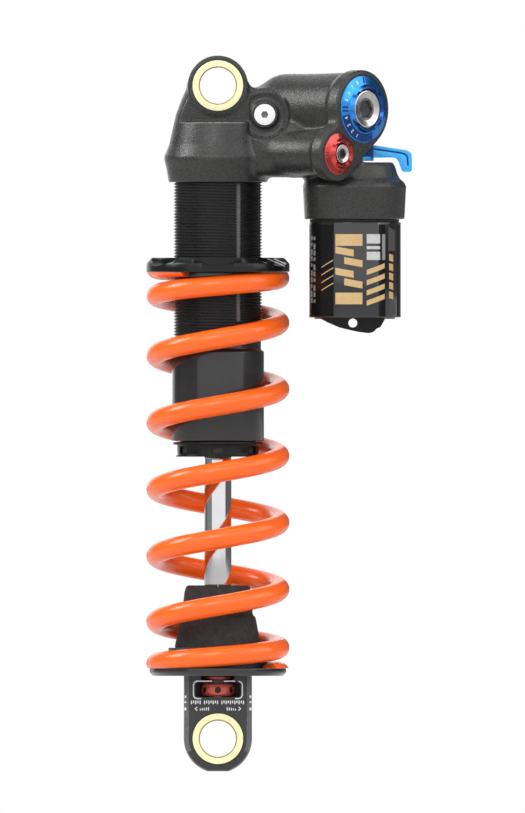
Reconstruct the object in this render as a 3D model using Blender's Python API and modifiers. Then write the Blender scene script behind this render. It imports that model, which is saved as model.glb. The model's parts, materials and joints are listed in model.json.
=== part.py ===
"""Coil-sprung bicycle rear shock with a side reservoir.

Frame: the origin is the centre of the upper eye, +Z runs up along the damper, the eye
bores run along Y, and the reservoir is on the +X side.  The front of the shock is -Y.
All sizes below are in millimetres; MM turns them into Blender's metres.
"""
import math

import bmesh
import bpy
from mathutils import Euler, Matrix, Vector

MM = 0.001
GAP = 0.3

# Facets round a turned shape
FINE = 32
MEDIUM = 24
COARSE = 16
SMALL = 12

# Driving dimensions
EYE_TO_EYE = 230.0
SHAFT_R = 4.75
EYE_BORE_R = 7.8
BUSH_HOLE_R = 6.35
BUSH_SHANK_R = 7.5
BUSH_FLANGE_R = 8.9
BUSH_FLANGE_T = 0.8
EYE_HALF_WIDTH = 7.0
UPPER_EYE_R = 10.6
LOWER_EYE_R = 12.0

# Damper body
TUBE_THREAD_R = 15.6
TUBE_LOWER_R = 16.24
TUBE_BORE_R = 13.8
TUBE_TOP = -26.9
THREAD_BOTTOM = -88.5
NECK_R = 15.2
NECK_BOTTOM = -92.85
TUBE_BOTTOM = -125.07
KEYWAY_X = 7.6
KEYWAY_W = 1.9
INNER_TUBE_R = 12.4
INNER_BORE_R = 11.25
INNER_BOTTOM = -111.9
PLUG_TOP = -112.2
SKIRT_BOTTOM = -34.0
SKIRT_R = 17.3

# Spring and its seats
SPRING_MEAN_R = 21.6
WIRE_R = 3.6
SPRING_TURNS = 7.75
SPRING_START_DEG = 238.0
SPRING_TOP = -65.7
SPRING_BOTTOM = -205.2
SPRING_START_Z = -63.7
END_PITCH = 5.0
ACTIVE_PITCH = 23.5
PITCH_BLEND = (0.1, 2.0)
SPRING_PILOT_R = 17.4
PRELOAD_RING_R = 25.25
PRELOAD_TOP = -60.6
PRELOAD_BORE_R = 15.95
RETAINER_R = 24.0
RETAINER_BOTTOM = -207.9
BOSS_TOP = -197.9
BUMPER_TOP = -175.96

# Valves: both run along one direction, turned from the front towards the reservoir
VALVE_TURN_DEG = 47.5
UPPER_VALVE = (51.2, -19.7, -8.25)
UPPER_VALVE_R = 12.4
UPPER_VALVE_LENGTH = 48.0
UPPER_LOBE_R = 13.4
LOWER_VALVE = (42.5, -29.0, -24.0)
LOWER_VALVE_R = 7.7
LOWER_VALVE_LENGTH = 42.0
LOWER_LOBE_R = 9.5
END_PLATE_T = 8.0

# Reservoir
RESERVOIR_X = 48.1
RESERVOIR_Y = -6.0
RESERVOIR_R = 16.3
RESERVOIR_BORE_R = 14.6
RESERVOIR_TOP = -48.1
RESERVOIR_BOTTOM = -81.7
CAP_BOTTOM = -47.05
LEVER_HUB_TOP = -21.9

# Lower eyelet
EYELET_HALF_W = 11.97
EYELET_FLAT_Z = -241.45
WINDOW_HALF_W = 7.9
WINDOW_DEPTH_Y = 6.5
WINDOW_Z = (-210.1, -215.4)
HSR_RING_R = 6.2
LSR_RING_R = 5.3
RING_BORE_R = 3.8
SHAFT_END_R = 3.4

BLACK = ((0.012, 0.012, 0.013), 0.3, 0.6)
CAST = ((0.045, 0.045, 0.043), 0.55, 0.5)
GOLD = ((0.93, 0.87, 0.5), 0.3, 0.9)
CHROME = ((0.8, 0.8, 0.82), 0.08, 1.0)
STEEL = ((0.55, 0.55, 0.57), 0.25, 1.0)
BRASS = ((0.7, 0.5, 0.25), 0.35, 1.0)
BLUE = ((0.03, 0.25, 0.75), 0.25, 0.9)
RED = ((0.6, 0.04, 0.05), 0.3, 0.9)
ORANGE = ((0.95, 0.14, 0.02), 0.25, 0.0)
RUBBER = ((0.02, 0.02, 0.02), 0.8, 0.0)
WHITE = ((0.8, 0.8, 0.75), 0.5, 0.0)


def clear_scene():
    for old in list(bpy.data.objects):
        bpy.data.objects.remove(old, do_unlink=True)


def new_collection(name):
    collection = bpy.data.collections.new(name)
    bpy.context.scene.collection.children.link(collection)
    return collection


def make_material(name, look):
    colour, roughness, metallic = look
    material = bpy.data.materials.new(name)
    material.use_nodes = True
    shader = material.node_tree.nodes["Principled BSDF"]
    shader.inputs["Base Color"].default_value = (*colour, 1.0)
    shader.inputs["Roughness"].default_value = roughness
    shader.inputs["Metallic"].default_value = metallic
    return material


def place(obj, at=(0.0, 0.0, 0.0), turn_deg=(0.0, 0.0, 0.0)):
    obj.location = Vector(at) * MM
    obj.rotation_euler = Euler([math.radians(angle) for angle in turn_deg])
    return obj


def add_part(name, mesh, look):
    obj = bpy.data.objects.new(name, mesh)
    mesh.materials.append(make_material(name, look))
    parts.objects.link(obj)
    return obj


def smooth(obj):
    obj.data.shade_smooth()
    obj.data.set_sharp_from_angle(angle=math.radians(35.0))


def profile_mesh(name, profile, closed):
    mesh = bpy.data.meshes.new(name)
    points = [(radius * MM, 0.0, z * MM) for radius, z in profile]
    edges = [(i, i + 1) for i in range(len(points) - 1)]
    if closed:
        edges.append((len(points) - 1, 0))
    mesh.from_pydata(points, edges, [])
    return mesh


def turn_profile(obj, steps):
    screw = obj.modifiers.new("turn", "SCREW")
    screw.steps = steps
    screw.render_steps = steps
    screw.use_merge_vertices = True
    screw.merge_threshold = 0.00001
    screw.use_smooth_shade = True
    return obj


def turned(name, profile, look, steps=MEDIUM, closed=False, at=(0, 0, 0), turn_deg=(0, 0, 0)):
    """A turned solid: (radius, z) points down the outer side, then back up inside."""
    obj = add_part(name, profile_mesh(name, profile, closed), look)
    return place(turn_profile(obj, steps), at, turn_deg)


def ring(name, inner, outer, top, bottom, look, steps=MEDIUM, at=(0, 0, 0), turn_deg=(0, 0, 0)):
    profile = [(outer, top), (outer, bottom), (inner, bottom), (inner, top)]
    return turned(name, profile, look, steps, True, at, turn_deg)


def seal(name, major, minor, z, look, steps=MEDIUM, at=(0, 0, 0), turn_deg=(0, 0, 0)):
    """An O-ring whose section is a hexagon."""
    corners = [math.radians(60.0 * i + 30.0) for i in range(6)]
    profile = [(major + minor * math.cos(a), z - minor * math.sin(a)) for a in corners]
    return turned(name, profile, look, steps, True, at, turn_deg)


def as_tool(obj):
    """Turn an object into a Boolean operand that the model itself leaves out."""
    parts.objects.unlink(obj)
    cutters.objects.link(obj)
    obj.hide_render = True
    obj.display_type = "WIRE"
    return obj


def tool_disc(name, radius, top, bottom, at=(0, 0, 0), turn_deg=(0, 0, 0), steps=MEDIUM):
    mesh = bpy.data.meshes.new(name)
    shape = bmesh.new()
    middle = Matrix.Translation((0, 0, 0.5 * (top + bottom) * MM))
    bmesh.ops.create_cone(shape, cap_ends=True, segments=steps, radius1=radius * MM,
                          radius2=radius * MM, depth=(top - bottom) * MM, matrix=middle)
    shape.to_mesh(mesh)
    shape.free()
    obj = bpy.data.objects.new(name, mesh)
    parts.objects.link(obj)
    return as_tool(place(obj, at, turn_deg))


def tool_box(name, low, high, at=(0, 0, 0), turn_deg=(0, 0, 0)):
    mesh = bpy.data.meshes.new(name)
    shape = bmesh.new()
    centre = [0.5 * (a + b) * MM for a, b in zip(low, high)]
    size = [(b - a) * MM for a, b in zip(low, high)]
    matrix = Matrix.Translation(centre) @ Matrix.Diagonal((*size, 1.0))
    bmesh.ops.create_cube(shape, size=1.0, matrix=matrix)
    shape.to_mesh(mesh)
    shape.free()
    obj = bpy.data.objects.new(name, mesh)
    parts.objects.link(obj)
    return as_tool(place(obj, at, turn_deg))


def boolean(obj, tool, operation):
    modifier = obj.modifiers.new(tool.name, "BOOLEAN")
    modifier.operation = operation
    modifier.solver = "EXACT"
    modifier.object = tool


def cut(obj, tool):
    boolean(obj, tool, "DIFFERENCE")


def join(obj, tool):
    boolean(obj, tool, "UNION")


def curve_to_part(name, curve, look):
    """Make a curve's solid a welded mesh part, so that it can take Booleans."""
    source = bpy.data.objects.new(name + "_curve", curve)
    parts.objects.link(source)
    graph = bpy.context.evaluated_depsgraph_get()
    mesh = bpy.data.meshes.new_from_object(source.evaluated_get(graph))
    shape = bmesh.new()
    shape.from_mesh(mesh)
    bmesh.ops.remove_doubles(shape, verts=shape.verts, dist=0.00001)
    shape.to_mesh(mesh)
    shape.free()
    mesh.materials.clear()
    mesh.name = name
    bpy.data.objects.remove(source, do_unlink=True)
    return add_part(name, mesh, look)


def plate(name, outline, half_thickness, look, at=(0, 0, 0), turn_deg=(0, 0, 0)):
    curve = bpy.data.curves.new(name, "CURVE")
    curve.dimensions = "2D"
    curve.fill_mode = "BOTH"
    curve.extrude = half_thickness * MM
    spline = curve.splines.new("POLY")
    spline.points.add(len(outline) - 1)
    for point, (x, y) in zip(spline.points, outline):
        point.co = (x * MM, y * MM, 0.0, 1.0)
    spline.use_cyclic_u = True
    return place(curve_to_part(name, curve, look), at, turn_deg)


def arc(centre, radius, start_deg, end_deg, count):
    angles = [start_deg + (end_deg - start_deg) * i / count for i in range(count + 1)]
    return [(centre[0] + radius * math.cos(math.radians(a)),
             centre[1] + radius * math.sin(math.radians(a))) for a in angles]


def hull_outline(centre_a, radius_a, centre_b, radius_b, count=14):
    """The outline of two circles joined by their outer tangents."""
    away = Vector(centre_a) - Vector(centre_b)
    heading = math.degrees(math.atan2(away.y, away.x))
    spread = math.degrees(math.acos((radius_b - radius_a) / away.length))
    outline = arc(centre_a, radius_a, heading - spread, heading + spread, count)
    return outline + arc(centre_b, radius_b, heading + spread, heading - spread + 360.0, count)


def hexagon_disc(across_flats):
    return across_flats / math.sqrt(3.0)


def valve_point(face_centre, depth):
    """A point on a valve's axis, depth millimetres behind its end face."""
    turn = math.radians(VALVE_TURN_DEG)
    outward = Vector((math.sin(turn), -math.cos(turn), 0.0))
    return Vector(face_centre) - outward * depth


FACING_FRONT = (90.0, 0.0, 0.0)
FACING_BACK = (-90.0, 0.0, 0.0)
FACING_VALVE = (90.0, 0.0, VALVE_TURN_DEG)
RESERVOIR_AT = (RESERVOIR_X, RESERVOIR_Y, 0.0)
BLEED_AT = (16.5, 0.0, -10.2)


def build_head():
    """The casting: bell, eye, both valve housings, reservoir cap and bleed boss."""
    bell = [(0.0, 0.9), (10.6, 0.9), (11.0, -0.7), (12.9, -5.1), (14.8, -10.1), (16.1, -15.8),
            (17.2, -20.8), (18.9, -24.9), (18.9, -26.1), (18.1, -29.3),
            (SKIRT_R, SKIRT_BOTTOM), (0.0, SKIRT_BOTTOM)]
    head = turned("upper_head", bell, CAST, FINE)
    for side, name in ((-1, "flat_front"), (1, "flat_rear")):
        near, far = sorted((side * EYE_HALF_WIDTH, side * 30.0))
        cut(head, tool_box(name, (-30, near, -12.8), (30, far, 5)))
    join(head, tool_disc("eye", UPPER_EYE_R, EYE_HALF_WIDTH - 0.05, 0.05 - EYE_HALF_WIDTH,
                         (0, 0, 0), FACING_FRONT, FINE))
    join_valve_housings(head)
    join_reservoir_cap(head)
    join(head, tool_disc("bleed_boss", 8.1, 10.5, -6.0, BLEED_AT, FACING_FRONT))
    cut_head(head)
    smooth(head)


def join_valve_housings(head):
    upper = [(0.0, -1.0), (UPPER_VALVE_R, -1.0), (UPPER_VALVE_R, 8.0 - UPPER_VALVE_LENGTH),
             (UPPER_VALVE_R - 2.4, 2.4 - UPPER_VALVE_LENGTH),
             (UPPER_VALVE_R - 8.0, -UPPER_VALVE_LENGTH), (0.0, -UPPER_VALVE_LENGTH)]
    join(head, as_tool(turned("upper_valve", upper, CAST, MEDIUM, False, UPPER_VALVE, FACING_VALVE)))
    join(head, tool_disc("lower_valve", LOWER_VALVE_R, -1.0, -LOWER_VALVE_LENGTH, LOWER_VALVE,
                         FACING_VALVE))
    across = (Vector(LOWER_VALVE) - Vector(UPPER_VALVE)).xy.length
    lower_centre = (-across, LOWER_VALVE[2] - UPPER_VALVE[2])
    outline = hull_outline((0.0, 0.0), UPPER_LOBE_R, lower_centre, LOWER_LOBE_R)
    middle = valve_point(UPPER_VALVE, 0.5 * END_PLATE_T)
    join(head, as_tool(plate("end_plate", outline, 0.5 * END_PLATE_T, CAST, middle,
                             FACING_VALVE)))


def join_reservoir_cap(head):
    ceiling, bore_floor = -39.6, -36.3
    cap = [(13.6, -27.0), (14.2, -28.5), (15.9, -32.7), (17.5, -34.1), (18.2, -35.4),
           (17.6, CAP_BOTTOM), (15.6, CAP_BOTTOM), (15.6, ceiling), (0.0, ceiling),
           (0.0, bore_floor), (3.5, bore_floor), (3.5, -27.0), (13.6, -27.0)]
    join(head, tool_box("bridge", (12, -15.5, -31.5), (36, 5.5, -13)))
    join(head, tool_box("web", (30, -14.5, -31.2), (44, 4.5, -27.3)))
    join(head, as_tool(turned("reservoir_cap", cap, CAST, FINE, False, RESERVOIR_AT)))


def cut_head(head):
    cut(head, tool_disc("eye_bore", EYE_BORE_R, 20, -20, (0, 0, 0), FACING_FRONT))
    cut(head, tool_disc("tube_socket", TUBE_THREAD_R + GAP, TUBE_TOP + GAP, -60, steps=FINE))
    cut(head, tool_disc("compression_bore", 10.0, 5, -30.0, UPPER_VALVE, FACING_VALVE))
    cut(head, tool_disc("rebound_bore", 5.4, 5, -26.0, LOWER_VALVE, FACING_VALVE))
    cut(head, tool_disc("bleed_bore", 4.1, 20, 8.6, BLEED_AT, FACING_FRONT))
    cut(head, tool_disc("bleed_thread", 2.6, 20, -1.0, BLEED_AT, FACING_FRONT, 20))
    cut(head, tool_disc("oil_port", 2.0, -20, -45, (RESERVOIR_X - 9.0, RESERVOIR_Y, 0), steps=12))


def build_tubes():
    body = [(TUBE_THREAD_R, TUBE_TOP), (TUBE_THREAD_R, THREAD_BOTTOM), (NECK_R, THREAD_BOTTOM - 0.6),
            (NECK_R, NECK_BOTTOM), (TUBE_LOWER_R, NECK_BOTTOM - 1.0), (TUBE_LOWER_R, TUBE_BOTTOM),
            (TUBE_BORE_R, TUBE_BOTTOM), (TUBE_BORE_R, TUBE_TOP)]
    tube = turned("damper_tube", body, BLACK, FINE, True)
    key_y = -math.sqrt(TUBE_THREAD_R ** 2 - KEYWAY_X ** 2)
    cut(tube, tool_box("keyway", (-0.5 * KEYWAY_W, -0.8, -83.1), (0.5 * KEYWAY_W, 3, -34.5),
                       (KEYWAY_X, key_y, 0), (0, 0, math.degrees(math.asin(KEYWAY_X / TUBE_THREAD_R)))))
    smooth(tube)
    ring("inner_tube", INNER_BORE_R, INNER_TUBE_R, TUBE_TOP, INNER_BOTTOM, STEEL, FINE)


def build_seal_head():
    """The threaded plug that closes the tube and guides the shaft."""
    flange_top = TUBE_BOTTOM - GAP
    running = SHAFT_R + GAP
    profile = [(13.4, PLUG_TOP), (13.4, -115.9), (11.6, -115.9), (11.6, -118.1), (13.4, -118.1),
               (13.4, flange_top), (15.8, flange_top), (15.8, -126.4), (14.3, -127.0),
               (14.3, -130.0), (14.8, -130.7), (8.5, -130.7), (8.5, -127.9), (6.3, -127.9),
               (6.3, -119.0), (running, -118.7), (running, -118.2), (8.5, -118.2), (8.5, PLUG_TOP)]
    head = turned("seal_head", profile, BLACK, MEDIUM, True)
    for i in range(6):
        turn = 60.0 * i + 30.0
        cut(head, tool_box(f"spanner_notch_{i}", (13.2, -1.6, -129.6), (17, 1.6, -127.2),
                           turn_deg=(0, 0, turn)))
    smooth(head)
    ring("shaft_wiper", running, 8.2, -128.2, -130.5, RUBBER)
    ring("shaft_bushing", running, 6.0, -119.3, -127.6, BRASS)
    ring("shaft_seal", running, 8.2, -114.8, -117.9, RUBBER)
    ring("seal_retainer", running + 0.6, 8.2, PLUG_TOP - GAP, -114.5, STEEL)
    seal("seal_head_o_ring", 12.65, 0.7, -117.0, RUBBER)


def build_shaft():
    """The shaft, its piston stack and the rod of the rebound adjuster inside it."""
    shoulder, stem_r, bore_r = -110.6, 3.0, 1.7
    profile = [(stem_r, -92.0), (stem_r, shoulder), (SHAFT_R, shoulder), (SHAFT_R, -207.6),
               (SHAFT_END_R, -207.6), (SHAFT_END_R, -220.4), (bore_r, -220.4), (bore_r, -92.0)]
    shaft = turned("shaft", profile, CHROME, MEDIUM, True)
    turned("metering_rod", [(0, -92.6), (0.6, -92.6), (1.3, -94.5), (1.3, -220.0), (0, -220.0)],
           STEEL, SMALL)
    fit_r = stem_r + GAP
    piston_profile = [(10.4, -99.0), (10.4, -100.6), (9.8, -100.6), (9.8, -105.6), (10.4, -105.6),
                      (10.4, -107.2), (fit_r, -107.2), (fit_r, -99.0)]
    piston = turned("main_piston", piston_profile, STEEL, MEDIUM, True)
    for i in range(6):
        turn = math.radians(60.0 * i)
        spot = (6.8 * math.cos(turn), 6.8 * math.sin(turn), 0.0)
        cut(piston, tool_disc(f"piston_port_{i}", 1.3, -90, -115, spot, steps=8))
    smooth(piston)
    ring("piston_band", 10.1, INNER_BORE_R - 0.25, -100.9, -105.3, WHITE)
    shims = [(8.4, -107.5), (8.4, -108.1), (7.2, -108.1), (7.2, -108.7), (5.8, -108.7),
             (5.8, -110.3), (fit_r, -110.3), (fit_r, -107.5)]
    turned("compression_shims", shims, STEEL, COARSE, True)
    rebound = [(5.8, -97.2), (7.2, -97.2), (7.2, -97.9), (8.4, -97.9), (8.4, -98.7),
               (fit_r, -98.7), (fit_r, -97.2)]
    turned("rebound_shims", rebound, STEEL, COARSE, True)
    ring("piston_nut", fit_r, 5.2, -92.9, -96.9, STEEL, SMALL)
    return shaft


def build_bumper_and_retainer():
    running = SHAFT_R + GAP
    bumper = [(11.0, BUMPER_TOP), (11.8, -177.8), (12.25, -182.4), (12.2, -186.0), (13.3, -186.9),
              (15.25, BOSS_TOP + GAP), (running, BOSS_TOP + GAP), (running, BUMPER_TOP)]
    turned("bottom_bumper", bumper, RUBBER, MEDIUM, True)
    retainer = [(16.9, BOSS_TOP), (SPRING_PILOT_R, BOSS_TOP - 0.5), (SPRING_PILOT_R, SPRING_BOTTOM),
                (RETAINER_R, SPRING_BOTTOM), (RETAINER_R, RETAINER_BOTTOM + 1.0),
                (RETAINER_R - 1.0, RETAINER_BOTTOM), (running, RETAINER_BOTTOM), (running, BOSS_TOP)]
    turned("lower_retainer", retainer, BLACK, FINE, True)


def lower_eye_outline():
    flat_deg = math.degrees(math.asin((EYELET_FLAT_Z + EYE_TO_EYE) / LOWER_EYE_R))
    top = RETAINER_BOTTOM - GAP
    arc_points = arc((0.0, -EYE_TO_EYE), LOWER_EYE_R, 0.0, flat_deg, 8)
    mirrored = [(-x, z) for x, z in reversed(arc_points)]
    return [(EYELET_HALF_W, top)] + arc_points + mirrored + [(-EYELET_HALF_W, top)]


def build_lower_eyelet():
    eyelet = plate("lower_eyelet", lower_eye_outline(), EYE_HALF_WIDTH, CAST, (0, 0, 0),
                   FACING_FRONT)
    top, low = WINDOW_Z
    cut(eyelet, tool_disc("lower_eye_bore", EYE_BORE_R, 20, -20, (0, 0, -EYE_TO_EYE), FACING_FRONT))
    cut(eyelet, tool_box("adjuster_window", (-WINDOW_HALF_W, -20, low),
                 (WINDOW_HALF_W, WINDOW_DEPTH_Y, top)))
    slot_floor = top + 0.6
    cut(eyelet, tool_box("upper_slot", (-5.9, -20, slot_floor),
                 (5.9, WINDOW_DEPTH_Y, -200)))
    cut(eyelet, tool_disc("shaft_socket", SHAFT_END_R + GAP, -200, -220.7, steps=24))
    cut(eyelet, tool_disc("shaft_recess", SHAFT_R + GAP, -200, -208.0, steps=24))
    smooth(eyelet)
    barrel = [(HSR_RING_R - 0.7, top - GAP), (HSR_RING_R, top - 1.3), (HSR_RING_R, low + 1.3),
              (HSR_RING_R - 0.7, low + GAP), (RING_BORE_R, low + GAP), (RING_BORE_R, top - GAP)]
    hsr = turned("high_speed_rebound_ring", barrel, RED, MEDIUM, True)
    for i in range(7):
        turn = 360.0 * i / 7.0
        cut(hsr, tool_disc(f"ring_hole_{i}", 0.93, HSR_RING_R + 2, 4.6, (0, 0, 0.5 * (top + low)),
                           (90.0, 0.0, turn), 8))
    smooth(hsr)
    ring("low_speed_rebound_ring", RING_BORE_R, LSR_RING_R, RETAINER_BOTTOM - GAP,
         slot_floor + GAP, RED)


def build_bushes():
    """Flanged half bushes, one from each side of both eyes."""
    profile = [(0.5 + BUSH_HOLE_R, EYE_HALF_WIDTH + GAP + BUSH_FLANGE_T),
               (BUSH_FLANGE_R, EYE_HALF_WIDTH + GAP + BUSH_FLANGE_T),
               (BUSH_FLANGE_R, EYE_HALF_WIDTH + GAP), (BUSH_SHANK_R, EYE_HALF_WIDTH + GAP),
               (BUSH_SHANK_R, GAP), (BUSH_HOLE_R, GAP),
               (BUSH_HOLE_R, EYE_HALF_WIDTH + GAP + BUSH_FLANGE_T - 0.5)]
    for eye, z in (("upper", 0.0), ("lower", -EYE_TO_EYE)):
        for side, turn in (("front", FACING_FRONT), ("rear", FACING_BACK)):
            turned(f"{eye}_bush_{side}", profile, GOLD, MEDIUM, True, (0, 0, z), turn)


def pitch_at(turns):
    """Local pitch, eased from the closed end coils to the active ones."""
    start, full = PITCH_BLEND
    share = (min(turns, SPRING_TURNS - turns) - start) / (full - start)
    share = min(max(share, 0.0), 1.0)
    return END_PITCH + (ACTIVE_PITCH - END_PITCH) * share * share * (3.0 - 2.0 * share)


def spring_points(per_turn):
    count = round(SPRING_TURNS * per_turn)
    step = SPRING_TURNS / count
    z = SPRING_START_Z
    points = []
    for i in range(count + 1):
        turn = math.radians(SPRING_START_DEG - 360.0 * i * step)
        points.append((SPRING_MEAN_R * math.cos(turn), SPRING_MEAN_R * math.sin(turn), z))
        z -= pitch_at((i + 0.5) * step) * step
    return points


def build_spring():
    points = spring_points(16)
    curve = bpy.data.curves.new("coil_spring", "CURVE")
    curve.dimensions = "3D"
    curve.bevel_depth = WIRE_R * MM
    curve.bevel_resolution = 2
    curve.use_fill_caps = True
    spline = curve.splines.new("POLY")
    spline.points.add(len(points) - 1)
    for point, place_mm in zip(spline.points, points):
        point.co = (*(Vector(place_mm) * MM), 1.0)
    spring = curve_to_part("coil_spring", curve, ORANGE)
    cut(spring, tool_box("top_grind", (-30, -30, SPRING_TOP - GAP), (30, 30, -50)))
    cut(spring, tool_box("bottom_grind", (-30, -30, -220), (30, 30, SPRING_BOTTOM + GAP)))
    smooth(spring)


def build_preload():
    """The threaded collar that loads the spring, and its pilot washer."""
    collar = [(PRELOAD_RING_R - 2.2, PRELOAD_TOP), (PRELOAD_RING_R, -62.7),
              (PRELOAD_RING_R, SPRING_TOP), (PRELOAD_BORE_R, SPRING_TOP),
              (PRELOAD_BORE_R, PRELOAD_TOP)]
    obj = turned("preload_ring", collar, BLACK, FINE, True)
    for i in range(6):
        cut(obj, tool_disc(f"scoop_{i}", 17.0, 34.0, 19.5, (0, 0, -46.6),
                           (90.0, 0.0, 60.0 * i), 48))
    smooth(obj)
    ring("preload_washer", PRELOAD_BORE_R, SPRING_PILOT_R, SPRING_TOP - GAP, -67.4, STEEL, FINE)


def build_reservoir():
    tube = [(15.0, -39.9), (15.0, RESERVOIR_TOP), (RESERVOIR_R - 0.5, RESERVOIR_TOP),
            (RESERVOIR_R, RESERVOIR_TOP - 0.5), (RESERVOIR_R, RESERVOIR_BOTTOM),
            (RESERVOIR_BORE_R, RESERVOIR_BOTTOM), (RESERVOIR_BORE_R, -50.0), (13.4, -51.0),
            (13.4, -39.9)]
    turned("reservoir_tube", tube, BLACK, FINE, True, RESERVOIR_AT)
    ring("reservoir_ring", 15.3, 15.9, CAP_BOTTOM - GAP, RESERVOIR_TOP + GAP, RUBBER, FINE,
         RESERVOIR_AT)
    end = [(35.8, -82.0), (38.6, -83.4), (42.8, -85.2), (47.4, -86.3), (49.9, -86.8),
           (53.2, -87.2), (54.4, -86.9), (56.1, -85.3), (57.0, -85.4), (59.0, -82.0)]
    cap = plate("reservoir_end_cap", end, 8.5, CAST, (0, RESERVOIR_Y, 0), FACING_FRONT)
    spigot = [(0.0, -77.6), (14.2, -77.6), (14.2, -78.6), (12.9, -78.6), (12.9, -80.4),
              (14.2, -80.4), (14.2, -82.2), (0.0, -82.2)]
    join(cap, as_tool(turned("end_cap_spigot", spigot, CAST, FINE, False, RESERVOIR_AT)))
    cut(cap, tool_disc("end_cap_hole", 1.56, 20, -20, (47.5, RESERVOIR_Y, -83.9), FACING_FRONT, 16))
    cut(cap, tool_disc("fill_port", 2.2, -80.8, -95, (52.3, RESERVOIR_Y, 0), steps=16))
    smooth(cap)
    seal("end_cap_o_ring", 13.65, 0.5, -79.5, RUBBER, MEDIUM, RESERVOIR_AT)
    screw = [(0.0, -81.1), (1.9, -81.1), (1.9, -86.6), (1.0, -86.6), (1.0, -84.6), (0.0, -84.6)]
    turned("gas_fill_screw", screw, STEEL, SMALL, False, (52.3, RESERVOIR_Y, 0))
    piston = [(0.0, -60.0), (14.2, -60.0), (14.2, -63.6), (12.9, -63.6), (12.9, -65.4),
              (14.2, -65.4), (14.2, -70.0), (11.4, -70.0), (11.4, -63.0), (0.0, -62.6)]
    turned("floating_piston", piston, WHITE, MEDIUM, False, RESERVOIR_AT)
    seal("floating_piston_seal", 13.65, 0.5, -64.5, RUBBER, MEDIUM, RESERVOIR_AT)


def build_valve(prefix, face, bore_r, depth, look, dial, core_r, hex_af):
    """One adjuster: cartridge, poppet and spring in the bore, dial and core on the face."""
    sleeve_r = bore_r - GAP
    stem_r = 0.35 * core_r
    sleeve = [(sleeve_r, -GAP), (sleeve_r, GAP - depth), (0.62 * sleeve_r, GAP - depth),
              (0.62 * sleeve_r, -0.42 * depth), (stem_r + GAP, -0.42 * depth), (stem_r + GAP, -GAP)]
    turned(f"{prefix}_cartridge", sleeve, STEEL, COARSE, True, face, FACING_VALVE)
    poppet_r = 0.62 * sleeve_r - GAP
    poppet = [(0.0, -0.72 * depth), (0.6 * poppet_r, -0.72 * depth), (poppet_r, -0.8 * depth),
              (poppet_r, -0.9 * depth), (0.0, 0.6 - depth)]
    turned(f"{prefix}_poppet", poppet, BRASS, SMALL, False, face, FACING_VALVE)
    coil_poppet_spring(prefix, face, 0.62 * sleeve_r, -0.44 * depth, -0.70 * depth)
    outer_r, ring_r, rise = dial
    profile = [(ring_r, rise), (ring_r + 0.5, rise - 0.9), (outer_r - 0.6, rise - 1.0),
               (outer_r, GAP), (core_r + GAP, GAP), (core_r + GAP, rise)]
    knob = turned(f"{prefix}_dial", profile, look, MEDIUM, True, face, FACING_VALVE)
    for i in range(4):
        turn = math.radians(90.0 * i + 45.0)
        reach = outer_r + 0.4
        side = Vector((reach * math.cos(turn), reach * math.sin(turn), 0.0))
        tool = tool_disc(f"{prefix}_notch_{i}", 0.12 * outer_r, 10, -0.2, steps=12)
        tool.matrix_world = knob_matrix(face) @ Matrix.Translation(side * MM)
        cut(knob, tool)
    smooth(knob)
    core_profile = [(0.0, rise - 0.3), (core_r - 0.4, rise - 0.3), (core_r, rise - 0.7),
                    (core_r, GAP), (stem_r, GAP), (stem_r, -0.36 * depth), (0.0, -0.36 * depth)]
    core = turned(f"{prefix}_core", core_profile, STEEL, COARSE, False, face, FACING_VALVE)
    socket = tool_disc(f"{prefix}_socket", hexagon_disc(hex_af), 10, rise - 2.0, steps=6)
    socket.matrix_world = knob_matrix(face)
    cut(core, socket)
    smooth(core)


def knob_matrix(face):
    turn = Euler([math.radians(angle) for angle in FACING_VALVE]).to_matrix().to_4x4()
    return Matrix.Translation(Vector(face) * MM) @ turn


def coil_poppet_spring(prefix, face, space_r, top, bottom):
    wire_r = 0.11 * space_r
    mean_r = space_r - 2.2 * wire_r
    turns, per_turn = 3, 8
    span = bottom - top + 2.0 * wire_r
    curve = bpy.data.curves.new(f"{prefix}_spring", "CURVE")
    curve.dimensions = "3D"
    curve.bevel_depth = wire_r * MM
    curve.bevel_resolution = 1
    curve.use_fill_caps = True
    spline = curve.splines.new("POLY")
    spline.points.add(turns * per_turn)
    for i, point in enumerate(spline.points):
        angle = 2.0 * math.pi * i / per_turn
        z = top - wire_r + span * i / (turns * per_turn)
        point.co = (mean_r * math.cos(angle) * MM, mean_r * math.sin(angle) * MM, z * MM, 1.0)
    place(curve_to_part(f"{prefix}_spring", curve, STEEL), face, FACING_VALVE)


def build_bleed_screw():
    profile = [(0.0, 10.2), (3.4, 10.2), (3.8, 9.8), (3.8, 8.9), (2.3, 8.9), (2.3, -0.7), (0, -0.7)]
    screw = turned("bleed_screw", profile, STEEL, COARSE, False, BLEED_AT, FACING_FRONT)
    cut(screw, tool_disc("bleed_hex", hexagon_disc(2.1), 20, 8.0, BLEED_AT, FACING_FRONT, 6))
    smooth(screw)


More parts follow.
